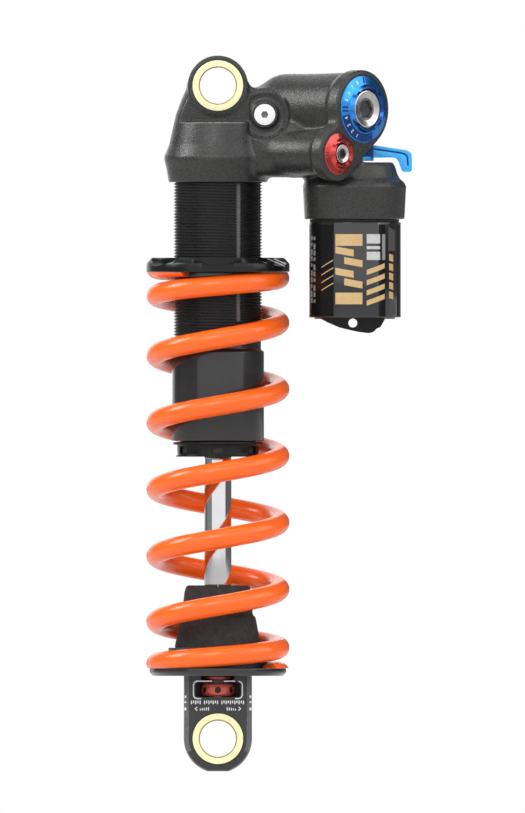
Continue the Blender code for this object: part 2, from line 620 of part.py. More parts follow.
def build_lever():
    """The firm-mode lever, which turns on a spindle through the reservoir cap."""
    x0 = RESERVOIR_X
    outline = [(0.0, LEVER_HUB_TOP), (51.0 - x0, LEVER_HUB_TOP), (54.4 - x0, -20.9), (66.7 - x0, -22.8), (68.3 - x0, -24.2),
               (68.4 - x0, -29.6), (67.6 - x0, -30.4), (64.9 - x0, -30.4), (64.1 - x0, -28.2),
               (63.4 - x0, -26.2), (62.2 - x0, -25.3), (56.0 - x0, -25.4), (0.0, -25.4)]
    lever = plate("firm_lever", outline, 3.6, BLUE, RESERVOIR_AT, FACING_FRONT)
    join(lever, tool_disc("lever_hub", 4.8, LEVER_HUB_TOP - 0.1, -26.6, RESERVOIR_AT))
    cut(lever, tool_disc("lever_hole", 2.5, -10, -30, RESERVOIR_AT, steps=COARSE))
    smooth(lever)
    spindle = [(0.0, -21.2), (3.8, -21.2), (3.8, LEVER_HUB_TOP + GAP), (2.2, LEVER_HUB_TOP + GAP), (2.2, -26.9), (3.2, -26.9),
               (3.2, -36.0), (0.0, -36.0)]
    turned("lever_spindle", spindle, STEEL, COARSE, False, RESERVOIR_AT)


clear_scene()
parts = new_collection("coil_rear_shock")
cutters = new_collection("cutters")
build_head()
build_tubes()
build_seal_head()
build_shaft()
build_bumper_and_retainer()
build_lower_eyelet()
build_bushes()
build_spring()
build_preload()
build_reservoir()
build_valve("compression", UPPER_VALVE, 10.0, 30.0, BLUE, (11.9, 8.8, 3.0), 6.6, 6.0)
build_valve("rebound", LOWER_VALVE, 5.4, 26.0, RED, (7.2, 5.0, 2.4), 3.26, 3.3)
build_bleed_screw()
build_lever()
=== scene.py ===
"""Looks of the coil-sprung rear shock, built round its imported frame.

Sizes here are in millimetres and are turned into metres when a mesh is made.  +Z runs up
the damper, the eye bores run along Y, the front is -Y and the reservoir is at +X.
"""
import itertools
import json
import math

import bmesh
import bpy
import numpy as np
from mathutils import Matrix, Vector
from mathutils.bvhtree import BVHTree


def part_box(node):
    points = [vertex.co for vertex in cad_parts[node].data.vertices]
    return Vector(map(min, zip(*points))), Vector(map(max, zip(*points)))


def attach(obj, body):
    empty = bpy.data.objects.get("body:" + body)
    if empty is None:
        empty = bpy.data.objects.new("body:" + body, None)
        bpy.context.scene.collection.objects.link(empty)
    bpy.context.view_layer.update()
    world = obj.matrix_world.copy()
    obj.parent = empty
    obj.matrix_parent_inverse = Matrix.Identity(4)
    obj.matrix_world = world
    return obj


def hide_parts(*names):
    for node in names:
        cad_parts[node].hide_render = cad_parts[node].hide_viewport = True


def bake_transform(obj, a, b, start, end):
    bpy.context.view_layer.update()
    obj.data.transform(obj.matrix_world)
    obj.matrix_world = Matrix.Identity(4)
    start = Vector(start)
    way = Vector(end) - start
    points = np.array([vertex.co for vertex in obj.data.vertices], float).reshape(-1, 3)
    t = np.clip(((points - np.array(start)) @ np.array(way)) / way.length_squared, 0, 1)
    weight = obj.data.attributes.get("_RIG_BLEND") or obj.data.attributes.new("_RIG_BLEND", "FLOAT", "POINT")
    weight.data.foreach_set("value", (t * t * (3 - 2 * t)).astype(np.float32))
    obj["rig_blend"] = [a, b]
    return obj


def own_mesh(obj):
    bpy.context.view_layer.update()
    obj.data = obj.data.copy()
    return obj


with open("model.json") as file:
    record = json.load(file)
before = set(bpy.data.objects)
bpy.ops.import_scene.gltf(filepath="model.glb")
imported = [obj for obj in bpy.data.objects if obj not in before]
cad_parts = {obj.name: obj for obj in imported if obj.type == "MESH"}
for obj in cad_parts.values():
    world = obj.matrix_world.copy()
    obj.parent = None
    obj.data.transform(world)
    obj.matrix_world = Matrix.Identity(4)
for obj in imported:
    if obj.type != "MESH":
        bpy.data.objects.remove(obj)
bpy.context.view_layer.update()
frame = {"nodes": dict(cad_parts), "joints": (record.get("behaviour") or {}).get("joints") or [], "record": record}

MM = 0.001
JOINTS = {joint["name"]: joint for joint in frame["joints"]}


def top(node):
    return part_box(node)[1][2] / MM


def bottom(node):
    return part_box(node)[0][2] / MM


def half_width(node):
    low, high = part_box(node)
    return 0.5 * (high[0] - low[0]) / MM


# ---------------------------------------------------------------- places in the frame
UPPER_FACE = Vector(JOINTS["compression_turn"]["pos_m"]) / MM
LOWER_FACE = Vector(JOINTS["rebound_turn"]["pos_m"]) / MM
OUTWARD = Vector(JOINTS["compression_turn"]["axis"]).normalized()
VALVE_TURN = math.atan2(OUTWARD.x, -OUTWARD.y)
RESERVOIR = Vector((*(Vector(JOINTS["firm_lever_turn"]["pos_m"]).xy / MM), 0.0))
LOWER_EYE = Vector((0.0, 0.0, 0.5 * (top("lower_bush_front") + bottom("lower_bush_front"))))

FACING_FRONT = Matrix.Rotation(math.pi / 2, 4, "X")
FACING_BACK = Matrix.Rotation(-math.pi / 2, 4, "X")
FACING_VALVE = Matrix.Rotation(VALVE_TURN, 4, "Z") @ FACING_FRONT


def at(place, turn=Matrix.Identity(4)):
    return Matrix.Translation(Vector(place)) @ turn


# ---------------------------------------------------------------- materials
class Finish:
    """A procedural material on one Principled BSDF, built up by small steps."""

    def __init__(self, name, colour, roughness, metallic=0.0, coat=0.0, specular=0.5,
                 coat_roughness=0.06):
        self.material = bpy.data.materials.new(name)
        self.material.use_nodes = True
        self.tree = self.material.node_tree
        self.shader = self.tree.nodes["Principled BSDF"]
        self.colour = colour
        self.roughness = roughness
        self.last_bump = None
        fill_inputs(self.shader, {
            "Base Color": (*colour, 1.0), "Roughness": roughness, "Metallic": metallic,
            "Coat Weight": coat, "Coat Roughness": coat_roughness, "Specular IOR Level": specular})

    def node(self, kind, values=None):
        return fill_inputs(self.tree.nodes.new(kind), values or {})

    def noise(self, size, stretch=(1.0, 1.0, 1.0), detail=3.0):
        """Noise whose features are about size millimetres across, stretched along each axis."""
        where = self.node("ShaderNodeTexCoord")
        mapping = self.node("ShaderNodeMapping", {"Scale": [1000.0 / s for s in stretch]})
        noise = self.node("ShaderNodeTexNoise", {"Scale": 1.0 / size, "Detail": detail})
        self.tree.links.new(where.outputs["Object"], mapping.inputs["Vector"])
        self.tree.links.new(mapping.outputs["Vector"], noise.inputs["Vector"])
        return noise.outputs["Fac"]

    def mottle(self, size, amount):
        """Vary the colour between a darker and a lighter one."""
        ramp = self.node("ShaderNodeValToRGB")
        stops = zip(ramp.color_ramp.elements, (0.32, 0.68), (1.0 - amount, 1.0 + amount))
        for stop, place, factor in stops:
            stop.position = place
            stop.color = (*[min(channel * factor, 1.0) for channel in self.colour], 1.0)
        self.tree.links.new(self.noise(size), ramp.inputs["Fac"])
        self.tree.links.new(ramp.outputs["Color"], self.shader.inputs["Base Color"])
        return self

    def uneven(self, size, amount, stretch=(1.0, 1.0, 1.0)):
        """Vary the roughness, as handling and machining do."""
        spread = self.node("ShaderNodeMapRange", {
            "From Min": 0.3, "From Max": 0.7, "To Min": max(self.roughness - amount, 0.02),
            "To Max": self.roughness + amount})
        self.tree.links.new(self.noise(size, stretch), spread.inputs["Value"])
        self.tree.links.new(spread.outputs["Result"], self.shader.inputs["Roughness"])
        return self

    def grain(self, size, depth, stretch=(1.0, 1.0, 1.0)):
        """Bump of the given depth in millimetres."""
        bump = self.node("ShaderNodeBump", {"Strength": 1.0, "Distance": depth * MM})
        self.tree.links.new(self.noise(size, stretch, 2.0), bump.inputs["Height"])
        if self.last_bump:
            self.tree.links.new(self.last_bump, bump.inputs["Normal"])
        self.tree.links.new(bump.outputs["Normal"], self.shader.inputs["Normal"])
        self.last_bump = bump.outputs["Normal"]
        return self


def fill_inputs(node, values):
    for socket, value in values.items():
        node.inputs[socket].default_value = value
    return node


def make_finishes():
    turned = (40.0, 40.0, 1.0)
    along = (1.0, 1.0, 40.0)
    return {
        "cast": Finish("cast_black", (0.023, 0.023, 0.022), 0.33).mottle(0.5, 0.6)
        .uneven(0.6, 0.13).grain(0.5, 0.12).grain(2.5, 0.05),
        "eyelet": Finish("eyelet_black", (0.030, 0.030, 0.030), 0.38).mottle(1.2, 0.15)
        .uneven(1.5, 0.08).grain(0.35, 0.02),
        # painted highlight: a lighter copy of the eyelet finish for its side chamfers
        "eyelet_painted_highlight": Finish("eyelet_painted_highlight", (0.105, 0.105, 0.105), 0.40).mottle(1.2, 0.15)
        .uneven(1.5, 0.08).grain(0.35, 0.02),
        # painted highlight: a light grey line along the rounded lip of the head's ledge
        "edge_painted_highlight": Finish("edge_painted_highlight", (0.17, 0.17, 0.165), 0.42).mottle(0.6, 0.3)
        .grain(0.3, 0.01),
        # painted shade: a near black finish for the floors of the preload ring's scoops
        "scoop_painted_shade": Finish("ring_scoop_painted_shade", (0.005, 0.005, 0.005), 0.45, 0.0, 0.0, 0.15).mottle(2.5, 0.12)
        .uneven(4.0, 0.05),
        "dark_ink": Finish("dark_ink", (0.055, 0.053, 0.050), 0.4).mottle(0.5, 0.1)
        .grain(0.2, 0.004),
        "sleeve_shade": Finish("sleeve_shade", (0.007, 0.007, 0.007), 0.2, 0.0, 0.0, 0.22)
        .mottle(2.0, 0.15).uneven(3.0, 0.03),
        # painted highlight: a lighter grey-blue for the boss ring of the spring retainer
        "boss_painted_highlight": Finish("boss_painted_highlight", (0.055, 0.068, 0.080), 0.40, 0.3).mottle(2.0, 0.12)
        .uneven(1.2, 0.06),
        "plug_black": Finish("plug_black", (0.008, 0.006, 0.006), 0.24, 0.0, 0.0, 0.25)
        .mottle(3.0, 0.12).uneven(2.5, 0.04),
        "gloss_black": Finish("gloss_black", (0.010, 0.010, 0.011), 0.09, 0.0, 1.0)
        .mottle(4.0, 0.12).uneven(6.0, 0.03),
        "tube_black": Finish("tube_black", (0.016, 0.016, 0.017), 0.22, 0.0, 0.4).mottle(5.0, 0.10)
        .uneven(3.0, 0.04, turned).grain(0.25, 0.004, turned),
        "thread_black": Finish("thread_black", (0.014, 0.014, 0.014), 0.30).mottle(2.0, 0.2)
        .uneven(1.0, 0.08, turned),
        "ring_black": Finish("ring_black", (0.007, 0.007, 0.008), 0.24, 0.0, 0.0, 0.3)
        .mottle(2.5, 0.12).uneven(4.0, 0.03),
        "keyway": Finish("keyway_floor", (0.12, 0.12, 0.12), 0.45).mottle(1.5, 0.12)
        .grain(0.2, 0.01, along),
        "chrome": Finish("polished_chrome", (0.76, 0.76, 0.77), 0.07, 1.0).uneven(2.0, 0.03, along)
        .mottle(8.0, 0.03),
        "steel": Finish("machined_steel", (0.52, 0.52, 0.53), 0.28, 1.0).mottle(0.8, 0.12)
        .uneven(0.6, 0.08, turned).grain(0.2, 0.004, turned),
        "screw": Finish("bright_screw", (0.93, 0.93, 0.93), 0.35, 0.25).mottle(0.7, 0.06)
        .grain(0.25, 0.004),
        "core_grey": Finish("brushed_core", (0.58, 0.57, 0.56), 0.22, 1.0).mottle(2.0, 0.07)
        .uneven(1.6, 0.05).grain(0.9, 0.004),
        "washer": Finish("pilot_washer", (0.16, 0.17, 0.18), 0.30, 0.6).mottle(1.5, 0.12)
        .uneven(1.0, 0.06, turned),
        # painted shade: a dark grey for the floors of the adjusters' hex sockets
        "hex_painted_shade": Finish("hex_painted_shade", (0.05, 0.05, 0.055), 0.45, 0.3).mottle(1.0, 0.2)
        .grain(0.3, 0.006),
        "bush": Finish("bush_anodised", (0.94, 0.90, 0.52), 0.38, 0.15).mottle(1.2, 0.05)
        .uneven(0.9, 0.06).grain(0.3, 0.004),
        "bush_edge": Finish("bush_inner_edge", (0.42, 0.27, 0.10), 0.45, 0.3).mottle(1.0, 0.2)
        .grain(0.4, 0.01),
        "bronze": Finish("bronze", (0.62, 0.42, 0.20), 0.35, 1.0).mottle(1.0, 0.15)
        .grain(0.3, 0.005),
        "blue": Finish("blue_anodised", (0.026, 0.255, 0.76), 0.16, 1.0, 0.3).mottle(3.0, 0.08)
        .uneven(2.2, 0.04).grain(0.9, 0.004),
        "lever_blue": Finish("lever_blue", (0.035, 0.42, 0.95), 0.26, 0.2, 0.3).mottle(2.2, 0.07)
        .uneven(1.2, 0.05).grain(0.25, 0.004),
        # painted shade: a darker blue for a sector of the dial's rim and the ring's mouth
        "blue_dial_painted_shade": Finish("blue_dial_painted_shade", (0.008, 0.055, 0.24), 0.22, 0.9, 0.2).mottle(2.0, 0.12)
        .uneven(1.5, 0.05),
        # painted shade: a darker red for a sector of the dial's rim and the ring's mouth
        "red_dial_painted_shade": Finish("red_dial_painted_shade", (0.36, 0.03, 0.025), 0.24, 0.9, 0.2).mottle(2.0, 0.12)
        .uneven(1.5, 0.05),
        # painted shade: a darker copy of the blue, for the rim slots and the lever's groove and hub end
        "dark_blue": Finish("dark_blue", (0.008, 0.05, 0.20), 0.35, 0.5).mottle(1.0, 0.2)
        .grain(0.3, 0.006),
        # painted shade: a darker copy of the red, for the rebound dial's rim slots
        "dark_red": Finish("dark_red", (0.16, 0.012, 0.012), 0.35, 0.5).mottle(1.0, 0.2)
        .grain(0.3, 0.006),
        "red": Finish("red_anodised", (0.60, 0.060, 0.050), 0.18, 1.0, 0.4).mottle(2.0, 0.12)
        .uneven(1.5, 0.05).grain(0.8, 0.005),
        "ring_red": Finish("ring_red", (0.72, 0.12, 0.09), 0.36, 0.3).mottle(0.5, 0.25)
        .uneven(0.5, 0.08).grain(0.22, 0.01),
        "orange": Finish("orange_powder_coat", (1.0, 0.138, 0.010), 0.26, 0.0, 0.30, 0.32, 0.20)
        .mottle(30.0, 0.02).uneven(30.0, 0.02),
        "rubber": Finish("matt_rubber", (0.020, 0.019, 0.018), 0.72).mottle(1.6, 0.25)
        .uneven(2.0, 0.10).grain(0.5, 0.03),
        # painted shade: a flat near black for dark pieces set where shade falls
        "socket": Finish("socket_shadow", (0.02, 0.02, 0.02), 0.6).mottle(0.5, 0.3)
        .grain(0.3, 0.01),
        "white_ink": Finish("white_ink", (0.84, 0.84, 0.84), 0.5).mottle(0.4, 0.12)
        .grain(0.2, 0.004),
        "grey_ink": Finish("grey_ink", (0.22, 0.22, 0.22), 0.5).mottle(0.4, 0.2)
        .grain(0.2, 0.004),
        "silver_ink": Finish("silver_ink", (0.56, 0.56, 0.56), 0.34, 0.3).mottle(0.5, 0.1)
        .grain(0.2, 0.004),
        "gold_ink": Finish("gold_ink", (0.62, 0.42, 0.20), 0.34, 0.25).mottle(0.6, 0.08)
        .grain(0.2, 0.004),
        "white_plastic": Finish("white_plastic", (0.75, 0.74, 0.70), 0.45).mottle(1.5, 0.06)
        .grain(0.5, 0.01),
    }


FINISH = make_finishes()


# ---------------------------------------------------------------- mesh tools
def add_piece(name, verts, faces, look, body, matrix=Matrix.Identity(4), sharp=32.0):
    """Make an object from points in millimetres, placed by matrix, riding on body."""
    mesh = bpy.data.meshes.new(name)
    turn = np.array(matrix.to_3x3())
    moved = np.asarray(verts, dtype=float) @ turn.T + np.array(matrix.translation)
    mesh.from_pydata((moved * MM).tolist(), [], faces)
    return finish_piece(bpy.data.objects.new(name, mesh), look, body, sharp)


def second_look(obj, look, chosen):
    """Give a second finish to each face that chosen picks by its centre and normal."""
    obj.data.materials.append(FINISH[look].material)
    for polygon in obj.data.polygons:
        if chosen(polygon.center / MM, polygon.normal):
            polygon.material_index = 1


def finish_piece(obj, look, body, sharp=32.0):
    if obj.name not in bpy.context.scene.collection.objects:
        bpy.context.scene.collection.objects.link(obj)
    obj.data.materials.clear()
    obj.data.materials.append(FINISH[look].material)
    obj.data.shade_smooth()
    obj.data.set_sharp_from_angle(angle=math.radians(sharp))
    if body:
        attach(obj, body)
    return obj


def soften(points, radius, closed=True, steps=3):
    """Round an outline's corners with short curves no longer than half a side."""
    count = len(points)
    result = []
    for i, here in enumerate(points):
        here = Vector(here)
        if not closed and i in (0, count - 1):
            result.append(tuple(here))
            continue
        before, after = Vector(points[i - 1]), Vector(points[(i + 1) % count])
        back, ahead = before - here, after - here
        if math.pi - back.angle(ahead, math.pi) < math.radians(9.0):
            result.append(tuple(here))
            continue
        start = here + back.normalized() * min(radius, 0.45 * back.length)
        end = here + ahead.normalized() * min(radius, 0.45 * ahead.length)
        for k in range(steps + 1):
            share = k / steps
            spot = start.lerp(here, share).lerp(here.lerp(end, share), share)
            result.append(tuple(spot))
    return result


def lathe_mesh(profile, segments, closed, wave=None):
    """Spin (radius, height) points that run down the outside and back up inside."""
    angles = np.arange(segments) * 2.0 * math.pi / segments
    verts, rows = [], []
    for radius, height in profile:
        if radius < 1e-6:
            rows.append([len(verts)] * segments)
            verts.append((0.0, 0.0, height))
            continue
        rows.append(list(range(len(verts), len(verts) + segments)))
        for angle in angles:
            r, z = wave(angle, radius, height) if wave else (radius, height)
            verts.append((r * math.cos(angle), r * math.sin(angle), z))
    faces = []
    last = len(profile) if closed else len(profile) - 1
    for i in range(last):
        upper, lower = rows[i], rows[(i + 1) % len(profile)]
        for j in range(segments):
            k = (j + 1) % segments
            corners = [upper[j], lower[j], lower[k], upper[k]]
            face = list(dict.fromkeys(corners))
            if len(face) > 2:
                faces.append(face)
    return verts, faces


def lathe(name, profile, look, body, matrix=Matrix.Identity(4), segments=96, edge=0.3,
          closed=None):
    """A turned piece: rings are closed, and a profile that starts on the axis is solid."""
    closed = profile[0][0] > 0 if closed is None else closed
    verts, faces = lathe_mesh(soften(profile, edge, closed), segments, closed)
    return add_piece(name, verts, faces, look, body, matrix)


def tool(verts, faces, matrix=Matrix.Identity(4)):
    return add_piece("tool", verts, faces, "socket", None, matrix)


def tool_disc(radius, high, low, matrix=Matrix.Identity(4), segments=48):
    profile = [(0.0, high), (radius, high), (radius, low), (0.0, low)]
    return tool(*lathe_mesh(profile, segments, False), matrix)


def prism_mesh(outline, front, back):
    """A flat outline (counter-clockwise) made solid between two heights."""
    count = len(outline)
    verts = [(x, y, front) for x, y in outline] + [(x, y, back) for x, y in outline]
    faces = [list(range(count)), list(range(2 * count - 1, count - 1, -1))]
    for i in range(count):
        j = (i + 1) % count
        faces.append([i, count + i, count + j, j])
    return verts, faces


def bevel(obj, width, segments=3, angle=40.0):
    modifier = obj.modifiers.new("rounding", "BEVEL")
    modifier.width = width * MM
    modifier.segments = segments
    modifier.limit_method = "ANGLE"
    modifier.angle_limit = math.radians(angle)
    apply_modifiers(obj)


def apply_modifiers(obj):
    graph = bpy.context.evaluated_depsgraph_get()
    mesh = bpy.data.meshes.new_from_object(obj.evaluated_get(graph))
    obj.modifiers.clear()
    obj.data = mesh


def combine(obj, other, operation="DIFFERENCE"):
    """Cut other out of obj, or join it on, and drop other."""
    modifier = obj.modifiers.new("combine", "BOOLEAN")
    modifier.operation = operation
    modifier.solver = "EXACT"
    modifier.object = other
    apply_modifiers(obj)
    bpy.data.objects.remove(other, do_unlink=True)
    obj.data.materials.clear()


def box_outline(low, high):
    return [(low[0], low[1]), (high[0], low[1]), (high[0], high[1]), (low[0], high[1])]


def box_mesh(low, high):
    return prism_mesh(box_outline(low, high), high[2], low[2])


def cut_box(obj, low, high, matrix=Matrix.Identity(4)):
    combine(obj, tool(*box_mesh(low, high), matrix))


def cut_slab(obj, low, high):
    """Cut away all that lies between two heights."""
    cut_box(obj, (-30.0, -30.0, low), (30.0, 30.0, high))


def ring_of(count):
    return [2.0 * math.pi * i / count for i in range(count)]


def arc(centre, radius, start, end, count):
    angles = [math.radians(start + (end - start) * i / count) for i in range(count + 1)]
    return [(centre[0] + radius * math.cos(a), centre[1] + radius * math.sin(a)) for a in angles]


def fix_normals(obj):
    shape = bmesh.new()
    shape.from_mesh(obj.data)
    bmesh.ops.recalc_face_normals(shape, faces=shape.faces)
    shape.to_mesh(obj.data)
    shape.free()


def stroke_outline(route, width):
    """The outline of a line of the given width drawn along a route."""
    points = [Vector(p) for p in route]
    left, right = [], []
    for i, here in enumerate(points):
        ahead = points[min(i + 1, len(points) - 1)] - points[max(i - 1, 0)]
        side = Vector((-ahead.y, ahead.x)).normalized() * 0.5 * width
        left.append(tuple(here + side))
        right.append(tuple(here - side))
    return right + left[::-1]


def join_pieces(name, pieces, look, body):
    """Merge several meshes that share a finish into one piece."""
    shape = bmesh.new()
    for piece in pieces:
        shape.from_mesh(piece.data)
    mesh = bpy.data.meshes.new(name)
    shape.to_mesh(mesh)
    shape.free()
    for piece in pieces:
        bpy.data.objects.remove(piece, do_unlink=True)
    obj = finish_piece(bpy.data.objects.new(name, mesh), look, body)
    return obj


def ribbon_faces(start, columns):
    """Close a ribbon whose every column has two front-and-back pairs of points."""
    faces = []
    for i in range(columns):
        a, b = start + 4 * i, start + 4 * (i + 1)
        faces += [[a, b, b + 2, a + 2], [a + 1, a + 3, b + 3, b + 1],
                  [a, a + 1, b + 1, b], [a + 2, b + 2, b + 3, a + 3]]
    end = start + 4 * columns
    return faces + [[start, start + 2, start + 3, start + 1], [end, end + 1, end + 3, end + 2]]


def laid_on(target, route, half_width_mm):
    """A thin stripe that follows the target's front surface between two (x, z) points."""
    tree = BVHTree.FromPolygons([tuple(v.co / MM) for v in target.data.vertices],
                                [tuple(p.vertices) for p in target.data.polygons])
    start, end = (Vector(point) for point in route)
    side = Vector((-(end - start).y, (end - start).x)).normalized() * half_width_mm
    verts = []
    steps = 24
    for i in range(steps + 1):
        for edge in (-1.0, 1.0):
            x, z = start.lerp(end, i / steps) + side * edge
            hit, normal, _, _ = tree.ray_cast(Vector((x, -60.0, z)), Vector((0.0, 1.0, 0.0)))
            verts.append(tuple(hit + normal * 0.05))
            verts.append(tuple(hit - normal * 0.05))
    stripe = add_piece("stripe", verts, ribbon_faces(0, steps), "white_ink", None)
    fix_normals(stripe)
    return stripe


# ---------------------------------------------------------------- distance fields for the casting
def smooth_min(a, b, width):
    share = np.clip(0.5 + 0.5 * (b - a) / width, 0.0, 1.0)
    return b + (a - b) * share - width * share * (1.0 - share)


def smooth_max(a, b, width):
    return -smooth_min(-a, -b, width)


def slab(value, low, high):
    return np.abs(value - 0.5 * (low + high)) - 0.5 * (high - low)


def rounded(across, along, edge):
    """Combine two distances into a solid whose shared rim is rounded by edge."""
    a, b = across + edge, along + edge
    outside = np.hypot(np.maximum(a, 0.0), np.maximum(b, 0.0))
    return np.minimum(np.maximum(a, b), 0.0) + outside - edge


def polygon_distance(x, y, points):
    """Signed distance to a closed outline, negative inside."""
    nearest = np.full(x.shape, 1e9, dtype=x.dtype)
    sign = np.ones(x.shape, dtype=x.dtype)
    for (ax, ay), (bx, by) in zip(points, points[1:] + points[:1]):
        ex, ey = bx - ax, by - ay
        wx, wy = x - ax, y - ay
        share = np.clip((wx * ex + wy * ey) / (ex * ex + ey * ey), 0.0, 1.0)
        nearest = np.minimum(nearest, (wx - ex * share) ** 2 + (wy - ey * share) ** 2)
        above, below = wy >= 0, y < by
        side = ex * wy > ey * wx
        flip = (above & below & side) | (~above & ~below & ~side)
        sign = np.where(flip, -sign, sign)
    return sign * np.sqrt(nearest)


def two_circle_distance(x, y, centre, radius_a, radius_b):
    """Signed distance to the hull of a circle at 0,0 and one at centre."""
    length = math.hypot(*centre)
    ux, uy = centre[0] / length, centre[1] / length
    along = x * ux + y * uy
    across = np.abs(y * ux - x * uy)
    slope = (radius_a - radius_b) / length
    rise = math.sqrt(1.0 - slope * slope)
    key = rise * along - slope * across
    first = np.hypot(along, across) - radius_a
    second = np.hypot(along - length, across) - radius_b
    flat = across * rise + along * slope - radius_a
    return np.where(key < 0, first, np.where(key > rise * length, second, flat))


def field_surface(field, low, high, step):
    """Mesh the zero surface of field(x, y, z) with surface nets."""
    axes = [np.arange(a, b, step, dtype=np.float32) for a, b in zip(low, high)]
    values = field(*np.meshgrid(*axes, indexing="ij"))
    inside = values < 0
    shape = [size - 1 for size in values.shape]
    corners = list(itertools.product((0, 1), repeat=3))
    shifted = [inside[tuple(slice(a, a + size) for a, size in zip(c, shape))] for c in corners]
    filled = sum(grid.astype(np.int8) for grid in shifted)
    cells = np.argwhere((filled > 0) & (filled < 8))
    index = np.full(shape, -1, dtype=np.int64)
    index[tuple(cells.T)] = np.arange(len(cells))
    total = np.zeros((len(cells), 3))
    hits = np.zeros(len(cells))
    for start in corners:
        for axis in range(3):
            if start[axis]:
                continue
            end = tuple(1 if k == axis else start[k] for k in range(3))
            a = values[tuple((cells + start).T)]
            b = values[tuple((cells + end).T)]
            crossed = (a < 0) != (b < 0)
            share = np.where(crossed, a / np.where(crossed, a - b, 1.0), 0.0)
            spot = np.repeat([start], len(cells), axis=0).astype(float)
            spot[:, axis] += share
            total[crossed] += spot[crossed]
            hits += crossed
    verts = (cells + total / hits[:, None]) * step + np.array([a[0] for a in axes])
    return verts, net_faces(inside, index)


def net_faces(inside, index):
    faces = []
    for axis in range(3):
        u, v = (axis + 1) % 3, (axis + 2) % 3
        forward = [slice(None)] * 3
        backward = [slice(None)] * 3
        forward[axis], backward[axis] = slice(1, None), slice(None, -1)
        a, b = inside[tuple(backward)], inside[tuple(forward)]
        edges = np.argwhere(a != b)
        keep = np.all(edges > 0, axis=1) & (edges[:, u] < index.shape[u])
        edges = edges[keep & (edges[:, v] < index.shape[v])]
        rising = a[tuple(edges.T)]
        step_u, step_v = np.eye(3, dtype=int)[u], np.eye(3, dtype=int)[v]
        around = [edges - step_u - step_v, edges - step_v, edges, edges - step_u]
        quads = np.stack([index[tuple(spot.T)] for spot in around], axis=1)
        quads[~rising] = quads[~rising][:, ::-1]
        faces.extend(quads.tolist())
    return faces


# ---------------------------------------------------------------- head casting
BELL = [(0.0, 0.9), (10.6, 0.9), (11.0, -0.7), (12.9, -5.1), (14.8, -10.1), (16.1, -15.8),
        (17.2, -20.8), (18.3, -23.6), (18.9, -24.9), (18.9, -26.1), (18.1, -29.3),
        (17.35, -34.0), (0.0, -34.0)]
CAP = [(0.0, -27.0), (13.4, -27.0), (14.3, -28.4), (15.1, -31.1), (15.9, -32.7), (17.5, -34.1),
       (18.2, -35.4), (17.6, -47.05), (0.0, -47.05)]
LEDGE_Z = -12.8
# a painted shadow line in the ledge's inner corner and a painted highlight line on its lip
# name, finish, left and right ends, height and half width
LEDGE_LINES = (("ledge_painted_shadow", "socket", -12.6, 8.9, -12.35, 0.20),
               ("ledge_painted_highlight", "edge_painted_highlight", -13.0, 9.2, -13.05, 0.17))
EYE_HALF = 7.0
EYE_R = 10.6
EYE_BORE_R = 7.8
UPPER_R, UPPER_LOBE_R, UPPER_DEPTH = 12.4, 13.4, 48.0
LOWER_R, LOWER_LOBE_R, LOWER_DEPTH = 7.7, 9.5, 42.0
PLATE_T = 5.0
BOSS = Vector((16.5, 0.0, -10.2))
BOSS_R, BOSS_FRONT = 8.1, 10.9
BOSS_LEFT = 11.4


def ease(value, start, end):
    share = np.clip((value - start) / (end - start), 0.0, 1.0)
    return share * share * (3.0 - 2.0 * share)


def valve_coordinates(x, y, z):
    """Sideways, upward and outward distances from the upper valve's face centre."""
    across, out = math.cos(VALVE_TURN), math.sin(VALVE_TURN)
    dx, dy = x - UPPER_FACE.x, y - UPPER_FACE.y
    return dx * across + dy * out, z - UPPER_FACE.z, dx * out - dy * across


def valve_field(x, y, z):
    side, rise, out = valve_coordinates(x, y, z)
    lower_side, lower_rise, _ = valve_coordinates(*LOWER_FACE)
    upper_r = UPPER_R + 0.4 * ease(out, -26.0, -6.0)
    upper = rounded(np.hypot(side, rise) - upper_r, -UPPER_DEPTH - out, 12.0)
    lower_r = LOWER_R + 0.3 * (LOWER_LOBE_R - LOWER_R) * ease(out, -14.0, -4.0)
    lower = rounded(np.hypot(side - lower_side, rise - lower_rise) - lower_r,
                    -LOWER_DEPTH - out, 3.0)
    housings = smooth_min(upper, lower, 4.0)
    housings = np.maximum(housings, out + 1.5)
    hull = two_circle_distance(side, rise, (lower_side, lower_rise), UPPER_LOBE_R, LOWER_LOBE_R)
    waisted = smooth_min(np.hypot(side, rise) - UPPER_LOBE_R,
                         np.hypot(side - lower_side, rise - lower_rise) - LOWER_LOBE_R, 5.0)
    on_left = lower_side * rise < lower_rise * side
    pear = np.where(on_left, waisted, hull)
    plate = rounded(pear, slab(out, -PLATE_T, 0.0), 0.9)
    return smooth_min(housings, plate, 2.4)


def eye_field(x, y, z):
    radius = np.hypot(x, y)
    bell = polygon_distance(radius, z, BELL)
    beyond = np.minimum(np.maximum(y + EYE_HALF, LEDGE_Z - z), np.maximum(EYE_HALF - y, LEDGE_Z - z))
    bell = smooth_max(bell, -beyond, 0.3)
    eye = rounded(np.hypot(x, z) - EYE_R, slab(y, -EYE_HALF, EYE_HALF), 0.7)
    return smooth_min(bell, eye, 1.0)


def bleed_boss_field(x, y, z):
    """A round boss with a dished face and a thin collar round the screw."""
    radius = np.hypot(x - BOSS.x, z - BOSS.z)
    boss = rounded(radius - BOSS_R, slab(y, -BOSS_FRONT, 6.0), 1.3)
    boss = smooth_max(boss, BOSS_LEFT - x, 1.0)
    dish = 1.9 - np.hypot(radius - 6.2, y + BOSS_FRONT + 0.6)
    collar = rounded(np.abs(radius - 4.4) - 0.45, slab(y, -BOSS_FRONT + 0.2, 0.0), 0.25)
    return np.minimum(np.maximum(boss, dish), collar)


